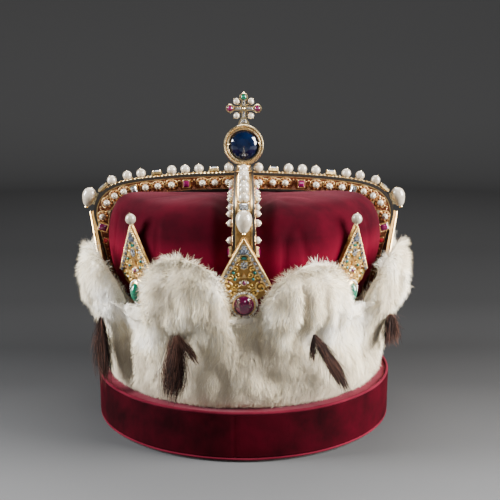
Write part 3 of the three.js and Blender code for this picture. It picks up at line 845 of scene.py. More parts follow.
def pinned_pearl(metal, pearls, place, radius, height):
    """A pearl on a pin: a cup under it, and the pin's end over it as a tiny cap."""
    cup = [(0, -0.4), (radius * 0.62, -0.2), (radius * 0.42, height * 0.16)]
    cup += [(radius * 0.6, height - radius * 0.62), (0, height)]
    metal.add(lathe(cup, 10), place)
    cap = [(0, -0.3), (0.5, -0.2), (0.42, 0.2), (0.15, 0.55), (0, 0.6)]
    metal.add(lathe(cap, 8), place @ move(0, 0, height + radius * 0.96))
    shape = ball(radius, 18, 11, 1 + 0.05 * rng.normal())
    pearls.add(shape, place @ move(0, 0, height) @ spin(rng.uniform(0, 6)))


def stone_box(metal, place, width, tall, height, stone, long=None):
    """A box setting on a foot, with a table-cut stone let into its top and a claw at each corner."""
    long = long or width
    metal.add(block(width * 0.5, long * 0.5, height * 0.5), place, GOLD)
    low = place @ move(0, 0, height * 0.3)
    metal.add(block(width * 0.86, long * 0.86, tall * 0.5), low, DULL_GOLD)
    metal.add(block(width, long, tall * 0.55, 0.5), low @ move(0, 0, tall * 0.25), GOLD)
    w, d = width * 0.34, long * 0.34
    metal.add(cut_stone(rectangle(w, d), 1.2, 0.6), low @ move(0, 0, tall * 0.72), stone)
    for x in (-w, w):
        for y in (-d, d):
            metal.add(ball(0.55, 6, 5), low @ move(x * 1.05, y * 1.05, tall * 0.86))


def arch_top(metal, pearls, place):
    """The outer face: a row of pearls and boxes between two lines of grains."""
    for r in np.arange(16.0, 112.0, 3.1):
        face = place @ arch_face(arch_at(r))
        for x in (-3.6, 3.6):
            metal.add(ball(0.95, 7, 5), face @ move(x, 0, -0.1), GOLD)
    for r in TOP_PEARLS:
        pinned_pearl(metal, pearls, place @ arch_face(arch_at(r)), 3.85, 3.7)
    for r in TOP_BOXES:
        stone_box(metal, place @ arch_face(arch_at(r)), 8.0, 3.4, 4.0, DARK_STONE)
    stone_box(metal, place @ arch_face(arch_at(112.3)), 9.0, 3.2, 2.4, DIAMOND)


def arch_flank(metal, pearls, place, hand):
    """A side: pearls in copper rosettes, gold triangles between, and boxes with stones."""
    levels = [arch_at(r) for r in SIDE_PEARLS] + [arch_at(SHOULDER_REACH) + 0.022]
    arc = np.linspace(-0.35, math.pi + 0.35, 13)
    hood = tube(np.stack([4.7 * np.cos(arc), 4.4 * np.sin(arc), arc * 0], 1), 0.42, 5)
    for t in levels:
        face = place @ arch_side(t, 0.52, hand)
        pinned_pearl(metal, pearls, face, 2.65, 1.9)
        metal.add(hood, face, GOLD)
        for petal in range(8):
            a = (petal + 0.5) * TURN / 8
            metal.add(ball(1.05, 8, 5, 0.7), face @ move(3.3 * math.cos(a), 3.3 * math.sin(a), 0.1), COPPER)
    ts = sorted(levels + [arch_at(r) for r, _ in SIDE_BOXES])
    for a, b in zip(ts, ts[1:]):
        face = place @ arch_side((a + b) / 2, 0.79, hand)
        metal.add(slab([(-2.7, -1.8), (2.7, -1.8), (0, 2.6)], -0.3, 1.2, 0.9), face)
        face = place @ arch_side((a + b) / 2, 0.33, hand)
        metal.add(ball(0.9, 7, 5), face, GOLD)
        for x in (-1.5, 1.5):
            metal.add(ball(0.6, 6, 5), face @ move(x, -0.9, 0))
    for r, stone in SIDE_BOXES:
        stone_box(metal, place @ arch_side(arch_at(r), 0.52, hand), 6.6, 2.6, 1.4, stone, 7.4)
    lower = arch_at(SHOULDER_REACH) + 0.088
    stone_box(metal, place @ arch_side(lower, 0.5, hand), 7.6, 2.9, 1.8, RUBY, 9.0)
    stone_box(metal, place @ arch_side(lower + 0.075, 0.5, hand), 5.4, 2.2, 1.2, RED_STONE, 5.4)
    for t in np.arange(lower + 0.12, 0.96, 0.035):
        metal.add(ball(0.9, 7, 5), place @ arch_side(t, 0.5, hand), GOLD)


def build_arch(side, azimuth):
    place = bay(azimuth)
    metal, pearls = Pile(PALE_GOLD), Pile(PEARL)
    metal.add(rail(-7.0, 7.0, 0.03, 0.13), place, DULL_GOLD)
    for hand in (-1, 1):
        for near, far, shallow, deep, proud, paint in ARCH_RAILS:
            low, high = sorted((hand * near, hand * far))
            metal.add(rail(low, high, shallow, deep, proud), place, paint)
    arch_top(metal, pearls, place)
    for hand in (-1, 1):
        arch_flank(metal, pearls, place, hand)
    # the drop pearl, its foot on the arch, and the caps at its two ends
    drop = place @ move(*DROP_PLACE) @ spin(DROP_LEAN, "X")
    metal.add(block(5, 4.4, 9), drop @ move(0, 4.4, -4.5))
    metal.add(lathe([(0, -1.0), (1.5, -0.7), (1.3, 0.5), (0.6, 1.2), (0, 1.3)], 10), drop @ move(0, 0, -8.0))
    metal.add(lathe([(0, -0.4), (1.2, -0.2), (0.6, 0.7), (0, 0.8)], 8), drop @ move(0, 0, 7.7))
    metal.build(f"arch_{side}_metal", "crown", "gold_arch", [f"arch_{side}"], sharp=40)
    pearls.build(f"arch_{side}_pearls", "crown", "pearl")
    profile = spline(DROP_PEARL, np.linspace(0, 1, 26))
    profile[:, 0] = np.maximum(profile[:, 0], 0)
    profile[[0, -1], 0] = 0
    name = f"drop_pearl_{side}"
    single(name + "_shape", "crown", PEARL, "pearl", name, lathe(profile, 28), drop)


# ---- fleurons ------------------------------------------------------------------------------------

# Scrolls on a kite's right half: centre, first and last angle, first and last radius, thickness.
SCROLLS = (
    ((11.6, 32.4), 500, 60, 0.9, 4.6, 0.75), ((7.4, 27.6), -200, 150, 0.7, 3.0, 0.62),
    ((5.2, 33.6), 20, 330, 0.6, 2.3, 0.5), ((9.6, 40.0), -120, 230, 0.7, 2.4, 0.55),
    ((4.4, 41.8), 200, -140, 0.6, 2.4, 0.5), ((6.2, 46.6), -90, 240, 0.6, 2.2, 0.5),
    ((3.4, 54.0), 230, -100, 0.5, 1.7, 0.45),
)
# Enamel dots and beads there: x, y, radius and paint.
DOTS = (
    (7.4, 43.6, 1.25, TEAL), (6.4, 38.6, 1.25, TEAL), (2.6, 36.0, 0.9, WHITE_ENAMEL),
    (3.4, 33.2, 0.8, PALE_GOLD), (9.6, 29.6, 0.9, WHITE_ENAMEL), (13.2, 31.2, 0.8, TEAL),
    (4.6, 50.0, 0.8, PALE_GOLD), (10.6, 36.6, 0.8, RUBY),
)
BEADS = 32
ROSETTE_UP = 49.4
SMALL_RUBY_UP = 35.9


def curl_line(centre, start, end, inner, outer, height):
    """A spiral wire on a plate, from one angle and radius to another."""
    t = np.linspace(0, 1, 16)
    turn = np.radians(start + (end - start) * t)
    radius = inner + (outer - inner) * t
    return np.stack([centre[0] + radius * np.cos(turn), centre[1] + radius * np.sin(turn), t * 0 + height], 1)


def kite_outline():
    bezel = [(10.2 * math.cos(a), BEZEL_UP + 10.2 * math.sin(a)) for a in np.radians([-70, -40, -10, 20])]
    right = [(3.2, -3.5), (3.2, 8.6), *bezel, (15.8, 26.5), (HALF_WIDTH - 0.6, SHOULDER), (1.3, APEX - 0.4)]
    return right + [(-x, y) for x, y in reversed(right)]


def kite_edge(pile, hand, open_bay):
    """One upper edge: a rim, a row of square stones, and beads on the ornaments between the arches."""
    flip = np.array([hand, 1.0])
    a = np.array([0.0, APEX - 0.6]) * flip
    b = np.array([HALF_WIDTH - 0.6, SHOULDER]) * flip
    way = (b - a) / np.linalg.norm(b - a)
    inside = np.array([-way[1], way[0]]) * (-hand)

    def edge(off, up, s):
        return np.append(a + (b - a) * s + inside * off, up)

    rims = ((0.1, 0.7, 0.62), (3.7, 0.3, 0.4))
    if open_bay:
        rims = ((1.5, 0.4, 0.3),)
        for s in np.linspace(0.03, 0.985, 25):
            pile.add(ball(0.74, 7, 5), move(*edge(0.1, 0.2, s)), GOLD)
    for off, up, thick in rims:
        line = [edge(off, up, s) for s in np.linspace(0.0 if off < 1 else 0.06, 1.0, 12)]
        pile.add(tube(line, thick, 6), None, GOLD)
    dark_every = 2 if open_bay else 3
    for number, s in enumerate(np.linspace(0.14, 0.955, 10)):
        spot = move(*edge(2.2, -0.1, s)) @ spin(math.atan2(way[1], way[0]))
        pile.add(block(3.0, 2.7, 0.6), spot, DULL_GOLD if open_bay else PALE_GOLD)
        stone = DARK_STONE if number % dark_every == 1 else DIAMOND
        pile.add(cut_stone(rectangle(1.25, 1.1), 1.1), spot @ move(0, 0, 0.5), stone)


def kite_bezel(pile, open_bay):
    """A beaded ring round the large stone, its collar, and a small drop under it."""
    outer, squeeze = (8.1, 1.14) if open_bay else (9.1, 1.05)
    middle = move(0, BEZEL_UP, 0)
    ring = [(0, -0.5), (outer + 0.9, -0.5), (outer + 0.9, 0.1), (outer + 0.4, 0.4), (0, 0.4)]
    pile.add(lathe(ring, 32, squeeze), middle)
    for k in range(BEADS):
        turn = k * TURN / BEADS
        spot = move(outer * math.cos(turn), BEZEL_UP + outer * squeeze * math.sin(turn), 1.2)
        pile.add(ball(0.82, 8, 6), spot, DIAMOND if k % 4 == 3 else WHITE_ENAMEL)
    if open_bay:
        collar = [(0, 0), (6.9, 0), (6.6, 1.2), (5.3, 2.4), (4.8, 2.5), (0, 0.8)]
        pile.add(lathe(collar, 32, 1.5), middle, GOLD)
    else:
        collar = [(0, 0), (8.4, 0), (8.3, 1.3), (7.85, 2.0), (7.5, 2.1), (0, 0.8)]
        pile.add(lathe(collar, 40, 1.06), middle, GOLD)
    pile.add(lathe([(0, -1.7), (1.6, -1.2), (1.9, 0), (1.6, 1.2), (0, 1.7)], 12), move(0, 4.6, 0.9))
    pile.add(lathe([(0, -0.5), (1.0, -0.4), (1.0, 0.4), (0, 0.5)], 10), move(0, 4.6, 2.6), GOLD)
    pile.add(ball(1.1, 10, 6), move(0, 1.6, 0.5), GOLD)


def kite(open_bay):
    """One fleuron on its plate's front face, z = 0."""
    pile = Pile(PALE_GOLD)
    ground = DULL_GOLD if open_bay else DARK_GROUND
    pile.add(slab(kite_outline(), -PLATE_THICKNESS, -0.5, 0.2), None, ground)
    for hand in (-1, 1):
        kite_edge(pile, hand, open_bay)
        for centre, start, end, inner, outer, thick in SCROLLS:
            line = curl_line(centre, start, end, inner, outer, 0.15) * [hand, 1, 1]
            pile.add(tube(line, thick, 6), None, YELLOW_GOLD)
            pile.add(ball(thick * 1.35, 8, 6), move(*line[0]), YELLOW_GOLD)
        for x, y, size, paint in DOTS:
            pile.add(ball(size, 9, 6, 0.8), move(x * hand, y, 0.5), paint)
        leaf = [(0.4, 30.2), (3.0, 29.0), (5.6, 30.4), (3.4, 31.4)]
        pile.add(slab([(x * hand, y) for x, y in leaf][::hand], -0.4, 0.7, 0.3))
    # down the middle: triangle diamond, dot, rosette, small ruby, then the bezel
    pile.add(slab([(-4.6, 57.0), (4.6, 57.0), (0.9, 66.0), (-0.9, 66.0)], -0.5, 0.9, 0.3))
    pile.add(cut_stone([(-3.6, 57.7), (3.6, 57.7), (0.0, 65.2)], 1.7, 0.4), move(0, 0, 0.6), DARK_STONE)
    pile.add(slab([(-2.1, 53.8), (2.1, 53.8), (1.4, 55.8), (-1.4, 55.8)], -0.4, 0.9, 0.3), None, TEAL)
    pile.add(slab(ngon(8, 3.6, squeeze=1.1) + [0, ROSETTE_UP], -0.4, 0.6, 0.3), None, YELLOW_GOLD)
    for k in range(8):
        turn = k * TURN / 8
        spot = move(2.1 * math.cos(turn), ROSETTE_UP + 2.3 * math.sin(turn), 0.5) @ spin(turn)
        pile.add(cut_stone(rectangle(1.0, 0.75), 0.9), spot, DIAMOND)
    pile.add(cut_stone(ngon(8, 1.3) + [0, ROSETTE_UP], 1.5), move(0, 0, 0.4), DIAMOND)
    pile.add(slab([(-1.9, 39.6), (1.9, 39.6), (0, 43.2)], -0.4, 0.8, 0.3), None, GOLD)
    pile.add(lathe([(0, 0), (2.5, 0), (2.4, 0.9), (1.6, 1.2), (0, 1.2)], 12), move(0, SMALL_RUBY_UP, -0.2))
    pile.add(ball(1.65, 12, 7, 0.8), move(0, SMALL_RUBY_UP, 0.9), RUBY)
    kite_bezel(pile, open_bay)
    return pile


def dome(half_x, half_y, rise):
    bend = np.linspace(0, math.pi / 2, 11)
    profile = [(0, -0.2), (half_x * 0.98, -0.2)]
    profile += [(half_x * math.cos(a) ** 0.9, rise * math.sin(a)) for a in bend[:-1]] + [(0, rise)]
    return lathe(profile, 36, half_y / half_x)


def build_fleurons():
    closed_kite, open_kite = kite(False), kite(True)
    for k, side in enumerate(SIDES):
        face = plate_face(90 * k, LEAN_ARCH)
        work = closed_kite.stamp(face)
        work.build(f"fleuron_{side}_work", "crown", "gold_fleuron", [f"fleuron_{side}"], sharp=40)
        stone, seat = dome(7.6, 8.05, 6.4), face @ move(0, BEZEL_UP, 0.5)
        single(f"ruby_{side}", "crown", RUBY, "ruby", f"ruby_cabochon_{side}", stone, seat, sharp=60)
    for k, side in enumerate(OPEN_SIDES):
        face = plate_face(45 + 90 * k, LEAN_OPEN)
        work = open_kite.stamp(face)
        bracket = face @ move(0, 0, -PLATE_THICKNESS)
        work.add(block(5.6, 4.6, 5.2), bracket @ move(0, -1.2, -5.2), GOLD)
        neck = face @ move(0, APEX - 0.4, -PLATE_THICKNESS / 2) @ spin(-math.pi / 2, "X")
        work.add(lathe([(0, 0), (1.7, 0), (1.1, 0.7), (1.9, 1.3), (0, 2.0)], 12), neck)
        work.add(lathe([(0, 0), (0.5, 0), (0.42, 0.9), (0, 1.3)], 8), neck @ move(0, 0, 8.3))
        work.build(f"fleuron_{side}_work", "crown", "gold_fleuron", [f"fleuron_{side}"], sharp=40)
        stone, seat = dome(4.6, 7.8, 6.3), face @ move(0, BEZEL_UP, 0.5)
        node = f"emerald_cabochon_{side}"
        single(f"emerald_{side}", "crown", EMERALD, "emerald", node, stone, seat, sharp=60)
        pearl, seat = ball(3.9, 24, 15, 1.03), neck @ move(0, 0, 4.6)
        single(f"top_pearl_{side}", "crown", PEARL, "pearl", f"finial_pearl_{side}", pearl, seat)


# ---- finial --------------------------------------------------------------------------------------

CROSS_Z = 247.4

def build_crossing():
    low, high = (end[2] for end in box_mm("crossing_block"))
    pile = Pile(ENAMEL)
    pile.add(block(14.2, 14.2, high - low, 0.4), move(0, 0, low))
    for hand in (-1, 1):
        for axis in (0, 90):
            for z in (low + 1.2, high - 0.2):
                line = [(hand * 7.1, -7.1, z), (hand * 7.1, 7.1, z)]
                pile.add(tube(line, 0.55, 6), bay(axis), BLACK_EDGE)
    pile.build("crossing_work", "crown", "gold", ["crossing_block"], sharp=40)
    collar = [
        (0, 196.9), (6.6, 196.9), (7.0, 197.4), (6.6, 198.0), (5.0, 198.6), (4.6, 199.6),
        (5.2, 200.6), (5.9, 201.4), (5.6, 202), (0, 202),
    ]
    single("finial_collar_turned", "crown", GOLD, "gold", "finial_collar", lathe(collar, 40), sharp=40)


def build_ring(middle):
    ring = Pile(PALE_GOLD)
    body = [(13.0, -3.2), (15.3, -3.2), (15.7, -2.6), (15.7, 2.6), (15.3, 3.2), (13.0, 3.2)]
    sides, notches = 72, 54
    points = np.concatenate([circle(r, sides, z) for r, z in body])
    ring.add((points, grid_faces(len(body), sides, True, True)), middle, GOLD)
    for face in (-1, 1):
        for r, thick, rise in ((15.35, 0.75, 3.5), (13.2, 0.6, 3.4), (12.55, 0.5, 2.3)):
            ring.add(tube(circle(r, sides, face * rise), thick, 8, closed=True), middle)
        for k in range(notches):
            spot = middle @ spin(k * TURN / notches) @ move(14.25, 0, face * 3.3) @ spin(0.6)
            ring.add(tube([(-0.75, 0, 0), (0.75, 0, 0)], 0.5, 6), spot, GOLD)
        for a in (0.12, math.pi - 0.05):
            ring.add(ball(1.0, 8, 6), middle @ spin(a) @ move(12.4, 0, face * 3.2))
    ring.build("sapphire_ring_work", "crown", "gold", ["sapphire_ring"], sharp=40)


def faceted(rows, sides):
    """A stone of triangles from (radius, height) rows, every other row turned by half a side."""
    points = []
    for i, (r, z) in enumerate(rows):
        a = (np.arange(sides) + 0.5 * (i % 2)) / sides * TURN
        points.append(np.stack([r * np.cos(a), r * np.sin(a), a * 0 + z], 1))
    points = np.concatenate(points)
    faces = []
    for i in range(len(rows) - 1):
        for k in range(sides):
            j = (k + 1) % sides
            a, b, c, d = i * sides + k, i * sides + j, (i + 1) * sides + j, (i + 1) * sides + k
            faces += [(a, b, d), (b, c, d)] if i % 2 == 0 else [(a, b, c), (a, c, d)]
    return points, [f for f in faces if len({tuple(np.round(points[v], 4)) for v in f}) == 3]


def build_cross():
    centre = move(0, 0, CROSS_Z) @ OUT
    cross, pearls = Pile(PALE_GOLD), Pile(PEARL)
    for a, reach in ((0, 10.9), (90, 8.9), (180, 10.9), (270, 8.2)):
        arm = centre @ bay(a)
        for face in (0, math.pi):
            side = arm @ spin(face, "X")
            cross.add(block(reach, 3.9, 1.7, 0.3), side @ move(reach / 2, 0, 0))
            cross.add(block(5.4, 2.7, 0.5), side @ move(4.6, 0, 1.7))
            cross.add(cut_stone(rectangle(2.4, 0.9), 0.9), side @ move(4.6, 0, 1.9), DIAMOND)
        if a < 270:
            collet = arm @ move(reach, 0, 0)
            cup = [(0, -2.2), (3.0, -2.2), (3.5, -1.4), (3.5, 1.4), (3.0, 2.2), (0, 2.2)]
            cross.add(lathe(cup, 20), collet)
            for face in (0, math.pi):
                side = collet @ spin(face, "X") @ move(0, 0, 2.0)
                cross.add(tube(circle(2.75, 20), 0.6, 6, closed=True), side)
                cross.add(ball(2.25, 14, 8, 0.6), side, EMERALD if a == 90 else RUBY)
    cross.add(ball(1.4, 10, 7, 0.8), centre @ move(0, 0, 1.9))
    foot = centre @ move(0, -9.6, 0)
    cross.add(slab([(-4.6, -3.0), (4.6, -3.0), (2.0, 3.0), (-2.0, 3.0)], -2.8, 2.8, 0.4), foot)
    for face in (0, math.pi):
        side = foot @ spin(face, "Y") @ move(0, -0.3, 2.4)
        cross.add(cut_stone([(-2.6, -1.5), (2.6, -1.5), (1.4, 1.3), (-1.4, 1.3)], 1.3), side, DIAMOND)
    cross.add(ball(0.8, 8, 6), centre @ move(0, 12.5, 0))
    for x in (-5.6, 5.6):
        for y in (-5.6, 5.6):
            pearls.add(ball(2.75, 16, 10), centre @ move(x, y, 0))
            cross.add(tube([(x * 0.3, y * 0.3, 0), (x, y, 0)], 0.6, 6), centre)
            cross.add(ball(0.55, 6, 5), centre @ move(x * 1.36, y * 1.36, 0))
    cross.build("finial_cross_work", "crown", "gold", ["finial_cross"], sharp=40)
    pearls.build("finial_cross_pearls", "crown", "pearl")


def build_finial():
    build_crossing()
    middle = move(0, 0, RING_Z) @ OUT
    build_ring(middle)
    lower = [(0, -6.3), (5.4, -5.8), (9.0, -4.3), (11.8, -2.2)]
    stone = faceted(lower + [(12.95, 0)] + [(r, -z) for r, z in reversed(lower)], 16)
    single("sapphire_cut", "crown", SAPPHIRE, "sapphire", "sapphire", stone, middle, flat=True)
    build_cross()


# ---- ermine --------------------------------------------------------------------------------------

VALLEY_Z = 98.0
FRONT_VALLEY_RISE = 3.5
PELT_OUTER = 119.3
PELT_BULGE = 20.5
FLAP_TIP_Z = 94.5
FUR_THICKNESS = 4.5
PELT_HALF = 22.5
STRANDS_PER_PELT = 34000
TAIL_ROOT = (128.0, 93.0)

# Each tongue's apex in degrees from its middle, how much taller it is, and its half widths in degrees
# before and after the apex.
TONGUES = [
    (1.0, -5.0, 17.4, 14.6), (1.5, -1.5, 16.6, 16.6), (-1.0, 0.0, 16.6, 16.6), (1.5, -2.0, 16.6, 16.6),
    (0.5, 1.0, 16.6, 16.6), (-1.5, -1.0, 16.6, 16.6), (0.5, -3.0, 16.6, 16.6), (1.4, 0.0, 15.6, 17.4),
]
# Creases and hollows: azimuth, lowest and highest z, half width in degrees, depth.
CREASES = [
    (-52.0, 46, 97, 4.2, 6.5), (-27.0, 98, 134, 2.6, 2.6), (18.5, 94, 134, 1.5, 3.4),
    (25.5, 88, 130, 1.5, 3.4), (33.0, 60, 84, 4.0, 2.0), (-8.0, 44, 70, 3.0, 2.4),
    (8.0, 56, 88, 3.0, 2.2), (64.0, 92, 130, 1.8, 2.6), (118.0, 94, 132, 1.8, 3.0),
    (150.0, 60, 96, 4.0, 3.0), (202.0, 94, 132, 1.8, 3.0), (252.0, 90, 130, 2.2, 3.0),
]
# The fur tints, white to deep cream; the darker ones also serve as painted shade low down and in the creases.
FUR_COLORS = [(0.93, 0.87, 0.75), (0.88, 0.8, 0.63), (0.8, 0.69, 0.47), (0.6, 0.51, 0.37), (0.96, 0.93, 0.87)]
FUR_TINTS = [
    Paint(f"fur_{k}", color, Roughness=0.72, Specular_IOR_Level=0.25, Sheen_Weight=0.25).material
    for k, color in enumerate(FUR_COLORS)
]
TAIL_COLORS = [(0.007, 0.003, 0.0022), (0.024, 0.0095, 0.0065), (0.095, 0.04, 0.026)]
TAIL_TINTS = [
    Paint(f"tail_{k}", color, Roughness=0.6, Specular_IOR_Level=0.14).material
    for k, color in enumerate(TAIL_COLORS)
]


def crease_depth(points):
    """How deep the creases are at points."""
    azimuth = np.degrees(np.arctan2(points[..., 0], -points[..., 1]))
    z = points[..., 2]
    total = 0.0
    for at, low, high, half, depth in CREASES:
        apart = (azimuth - at + 180) % 360 - 180
        along = smooth_step(low - 5, low + 8, z) * smooth_step(high + 5, high - 8, z)
        total = total + depth * np.exp(-((apart / half) ** 2)) * along
    return total


def pelt_inner(z):
    low = 102 + 6.6 * smooth_step(80, 86, z)
    return low + np.clip(z, 98, 128) * 0.38 - 98 * 0.38 + np.maximum(0, z - 128) * 0.2


def pelt_outline(offset, skew, taller, half, valley):
    """The skin's upright section at an azimuth offset in degrees: radius and height pairs."""
    across = min(1.0, abs(offset - skew) / half)
    rise = math.sqrt(max(0.0, 1 - across**2.4))
    crest = valley + (CREST_Z - 8.0 + taller - valley) * rise
    bulge = (PELT_BULGE - 2.0) * rise**0.75
    fold = math.exp(-(((offset - skew * 0.5) / 7.5) ** 2))
    tip = FLAP_TIP_Z + 4.0 + 4.0 * (1 - fold)
    skin = PELT_OUTER - FUR_THICKNESS
    foot = 86
    clear = 2.4 - 1.6 * float(smooth_step(9, 15, abs(offset)))
    tuck = 6.5 * fold
    flow = bulge * (1 - fold)

    def flap(out, up):
        return skin + bulge * out, tip + (crest - tip) * up

    def inner(up):
        z = foot + (crest - foot) * up
        return pelt_inner(z) + clear, z

    near = inner(0.95)[0]
    return [
        (104.5, CROWN_BOTTOM + 1.0),
        (108.6, CROWN_BOTTOM + 1.8),
        (111.8, 48),
        (113.4 + 0.08 * flow, 64),
        (113.8 + 0.34 * flow, 84),
        (skin + bulge * 0.9 - tuck, tip + 1.0),
        (skin + bulge * 0.86 - tuck * 0.1, tip + 4.0),
        *(flap(out, up) for out, up in ((0.99, 0.22), (1, 0.48), (0.96, 0.74), (0.72, 0.94))),
        (near + (skin + bulge - near) * 0.42, crest),
        *(inner(up) for up in (0.95, 0.6, 0.3, 0.0)),
    ]


def pelt_skin(k):
    """The pelt's skin as a grid of points, with its normals, its downward tangents and each row's t."""
    skew, taller, before, after = TONGUES[k]
    columns, rows = 41, 66
    offsets = np.linspace(-PELT_HALF, PELT_HALF, columns)
    fade = 1 - (abs(offsets) / PELT_HALF) ** 4
    t = np.linspace(0, 1, rows)
    middle = math.radians(45 * (k + 0.5))
    points = np.zeros((rows, columns, 3))
    for c, offset in enumerate(offsets):
        half = before if offset < skew else after
        a = middle + math.radians(offset)
        from_front = math.degrees(math.atan2(math.sin(a), math.cos(a)))
        valley = VALLEY_Z + FRONT_VALLEY_RISE * math.exp(-((from_front / 12) ** 2))
        section = spline(pelt_outline(offset, skew * fade[c], taller * fade[c], half, valley), t)
        r, z = section.T
        points[:, c] = np.stack([r * math.sin(a), -r * math.cos(a), z], 1)
    normal = frame_of(points)[0]
    push = 2.1 * lumps(points, 17.0) + 1.4 * lumps(points, 8.0, 1)
    ridge = lumps(points * [1, 1, 0.3], 11.0, 1, 5.0)
    push -= 2.5 * np.exp(-((ridge / 0.16) ** 2)) * smooth_step(70, 105, points[..., 2])
    push -= crease_depth(points)
    inside = smooth_step(0.74, 0.8, t)[:, None]
    low = smooth_step(CROWN_BOTTOM + 3, CROWN_BOTTOM + 14, points[..., 2])
    points = points + normal * (push * low * (1 - 0.85 * inside))[..., None]
    normal, down = frame_of(points)
    return points, normal, down, t


def frame_of(points):
    """The normals and the downward tangents of a grid of points."""
    up = np.gradient(points, axis=0)
    across = np.gradient(points, axis=1)
    return unit(np.cross(across, up)), -unit(up)


def unit(v):
    return v / np.maximum(np.linalg.norm(v, axis=-1, keepdims=True), 1e-9)


def strands(name, body, roots, aim, facing, length, width, curl, tint, paints, node, floor=None):
    """Thin tapered blades from roots, one material index each, as one piece."""
    n = len(roots)
    path = []
    for level in (0.0, 0.36, 0.72, 1.0):
        step = roots + unit(aim + curl * level) * (length * level)[:, None]
        if floor is not None:
            step[:, 2] = np.maximum(step[:, 2], floor + 0.5 * (1 - level))
        path.append(step)
    side = unit(np.cross(aim, facing) + rng.normal(0, 0.45, (n, 3)))
    points = np.zeros((n, 7, 3))
    for i, share in enumerate((0.8, 1.0, 0.7)):
        half = side * (width * share / 2)[:, None]
        points[:, 2 * i] = path[i] - half
        points[:, 2 * i + 1] = path[i] + half
    points[:, 6] = path[3]
    # each blade is two quads and a triangle
    loops = (np.arange(n) * 7)[:, None] + np.array([0, 1, 3, 2, 2, 3, 5, 4, 4, 5, 6])
    starts = (np.arange(n) * 11)[:, None] + np.array([0, 4, 8])
    mesh = new_mesh(name, points.reshape(-1, 3), loops.ravel(), starts.ravel(), np.repeat(tint, 3), paints)
    mesh.shade_smooth()
    # shaded mostly as the surface under it, so that the coat reads as one soft body
    own = np.cross(side, aim)
    outward = np.sign((own * facing).sum(1))[:, None]
    soft = unit(facing * 0.9 + unit(own) * outward * 0.35)
    mesh.normals_split_custom_set_from_vertices(np.repeat(soft, 7, 0))
    settle(bpy.data.objects.new(name, mesh), body, [node])


def scatter(points, normal, down, t, count):
    """Random roots over a grid by area, fewer inside and more at the crest.

    Gives the roots, and the normal, the downward tangent and t of each.
    """
    corner = points[:-1, :-1]
    area = np.linalg.norm(np.cross(points[1:, :-1] - corner, points[:-1, 1:] - corner), axis=-1)
    inside = smooth_step(0.78, 0.9, t[:-1])[:, None]
    weight = area * (1 - 0.6 * inside + 0.6 * np.exp(-(((t[:-1] - 0.74) / 0.05) ** 2))[:, None])
    cell = rng.choice(area.size, count, p=(weight / weight.sum()).ravel())
    i, j = np.unravel_index(cell, area.shape)
    u, v = rng.random((2, count, 1))

    def blend(grid):
        near = grid[i, j] * (1 - u) * (1 - v) + grid[i + 1, j] * u * (1 - v)
        return near + grid[i, j + 1] * (1 - u) * v + grid[i + 1, j + 1] * u * v

    return blend(points), unit(blend(normal)), unit(blend(down)), t[i] + (t[1] - t[0]) * u[:, 0]


def clumped(roots, aim, length, every, hold):
    """Leans each strand so that its tip gathers towards the tip of a strand near it."""
    leaders = rng.choice(len(roots), max(1, len(roots) // every), replace=False)
    tree = kdtree.KDTree(len(leaders))
    for i, leader in enumerate(leaders):
        tree.insert(roots[leader], i)
    tree.balance()
    near = leaders[[tree.find(root)[1] for root in roots]]
    tips = roots + aim * length[:, None]
    target = tips[near]
    pull = (hold * rng.uniform(0.5, 1.0, len(roots)))[:, None]
    return unit((tips * (1 - pull) + target * pull) - roots)


def comb(k, roots, facing, fall, at):
    """How one pelt's strands lie: their aim, length and curl.

    at is each root's share of the way up the section: 0.73 is the crest, and past 0.8 is inside.
    """
    count = len(roots)
    x_y = roots * [1, 1, 0]
    z = roots[:, 2]
    middle = 45 * (k + 0.5)
    swing = np.degrees(np.arctan2(roots[:, 0], -roots[:, 1])) - middle
    swing = abs((swing + 180) % 360 - 180)
    radial = np.array([math.sin(math.radians(middle)), -math.cos(math.radians(middle)), 0.0])
    aside = x_y - (x_y @ radial)[:, None] * radial
    sideways = unit(aside) * smooth_step(2, 30, np.linalg.norm(aside, axis=1))[:, None]
    inside = smooth_step(0.76, 0.84, at)
    crest = np.exp(-(((at - 0.73) / 0.12) ** 2))
    valley = smooth_step(17.5, 21.5, swing) * smooth_step(78, 92, z)
    beside = smooth_step(11.5, 15.5, swing) * smooth_step(96, 102, z)
    over = np.exp(-(((at - 0.79) / 0.06) ** 2)) * (1 - valley)
    wave = np.stack([lumps(roots, 14.0, 0, s) for s in (2.0, 6.0, 9.0)], 1)
    fine = np.stack([lumps(roots, 5.0, 1, s) for s in (1.0, 4.0, 8.0)], 1)
    lift = 0.42 + 0.7 * (inside * beside) - 0.35 * over + 0.5 * crest * (1 - 0.7 * valley)
    lift += 0.2 * lumps(roots, 9.0, 1, 3.0)
    aim = fall * (0.95 - 0.6 * crest * (1 - valley))[:, None] + facing * lift[:, None]
    aim += unit(x_y) * (1.0 * over)[:, None] + wave * 0.36 + fine * 0.24
    aim += sideways * (0.45 * smooth_step(95, 125, z) * (1 - inside) * (1 - beside))[:, None]
    aim += [0, 0, 0.3] * (crest * (1 - valley))[:, None]
    aim = unit(aim + rng.normal(0, 1, (count, 3)) * (0.28 + 0.2 * crest * (1 - valley))[:, None])
    length = rng.uniform(4.0, 7.2, count) * (1 + 0.1 * crest) * (1 - 0.35 * inside * (1 - beside))
    length *= (1 - 0.3 * beside * (1 - inside)) * (1 - 0.1 * valley * crest)
    stray = rng.random(count) < 0.02
    length[stray] *= 1.35
    length *= 0.55 + 0.45 * smooth_step(CROWN_BOTTOM, CROWN_BOTTOM + 14, z)
    aim = clumped(roots, aim, length, 8, 0.2)
    curl = np.cross(aim, facing) * (lumps(roots, 7.0, 0, 7.0) * 0.5)[:, None] - [0, 0, 0.22]
    return aim, length, curl


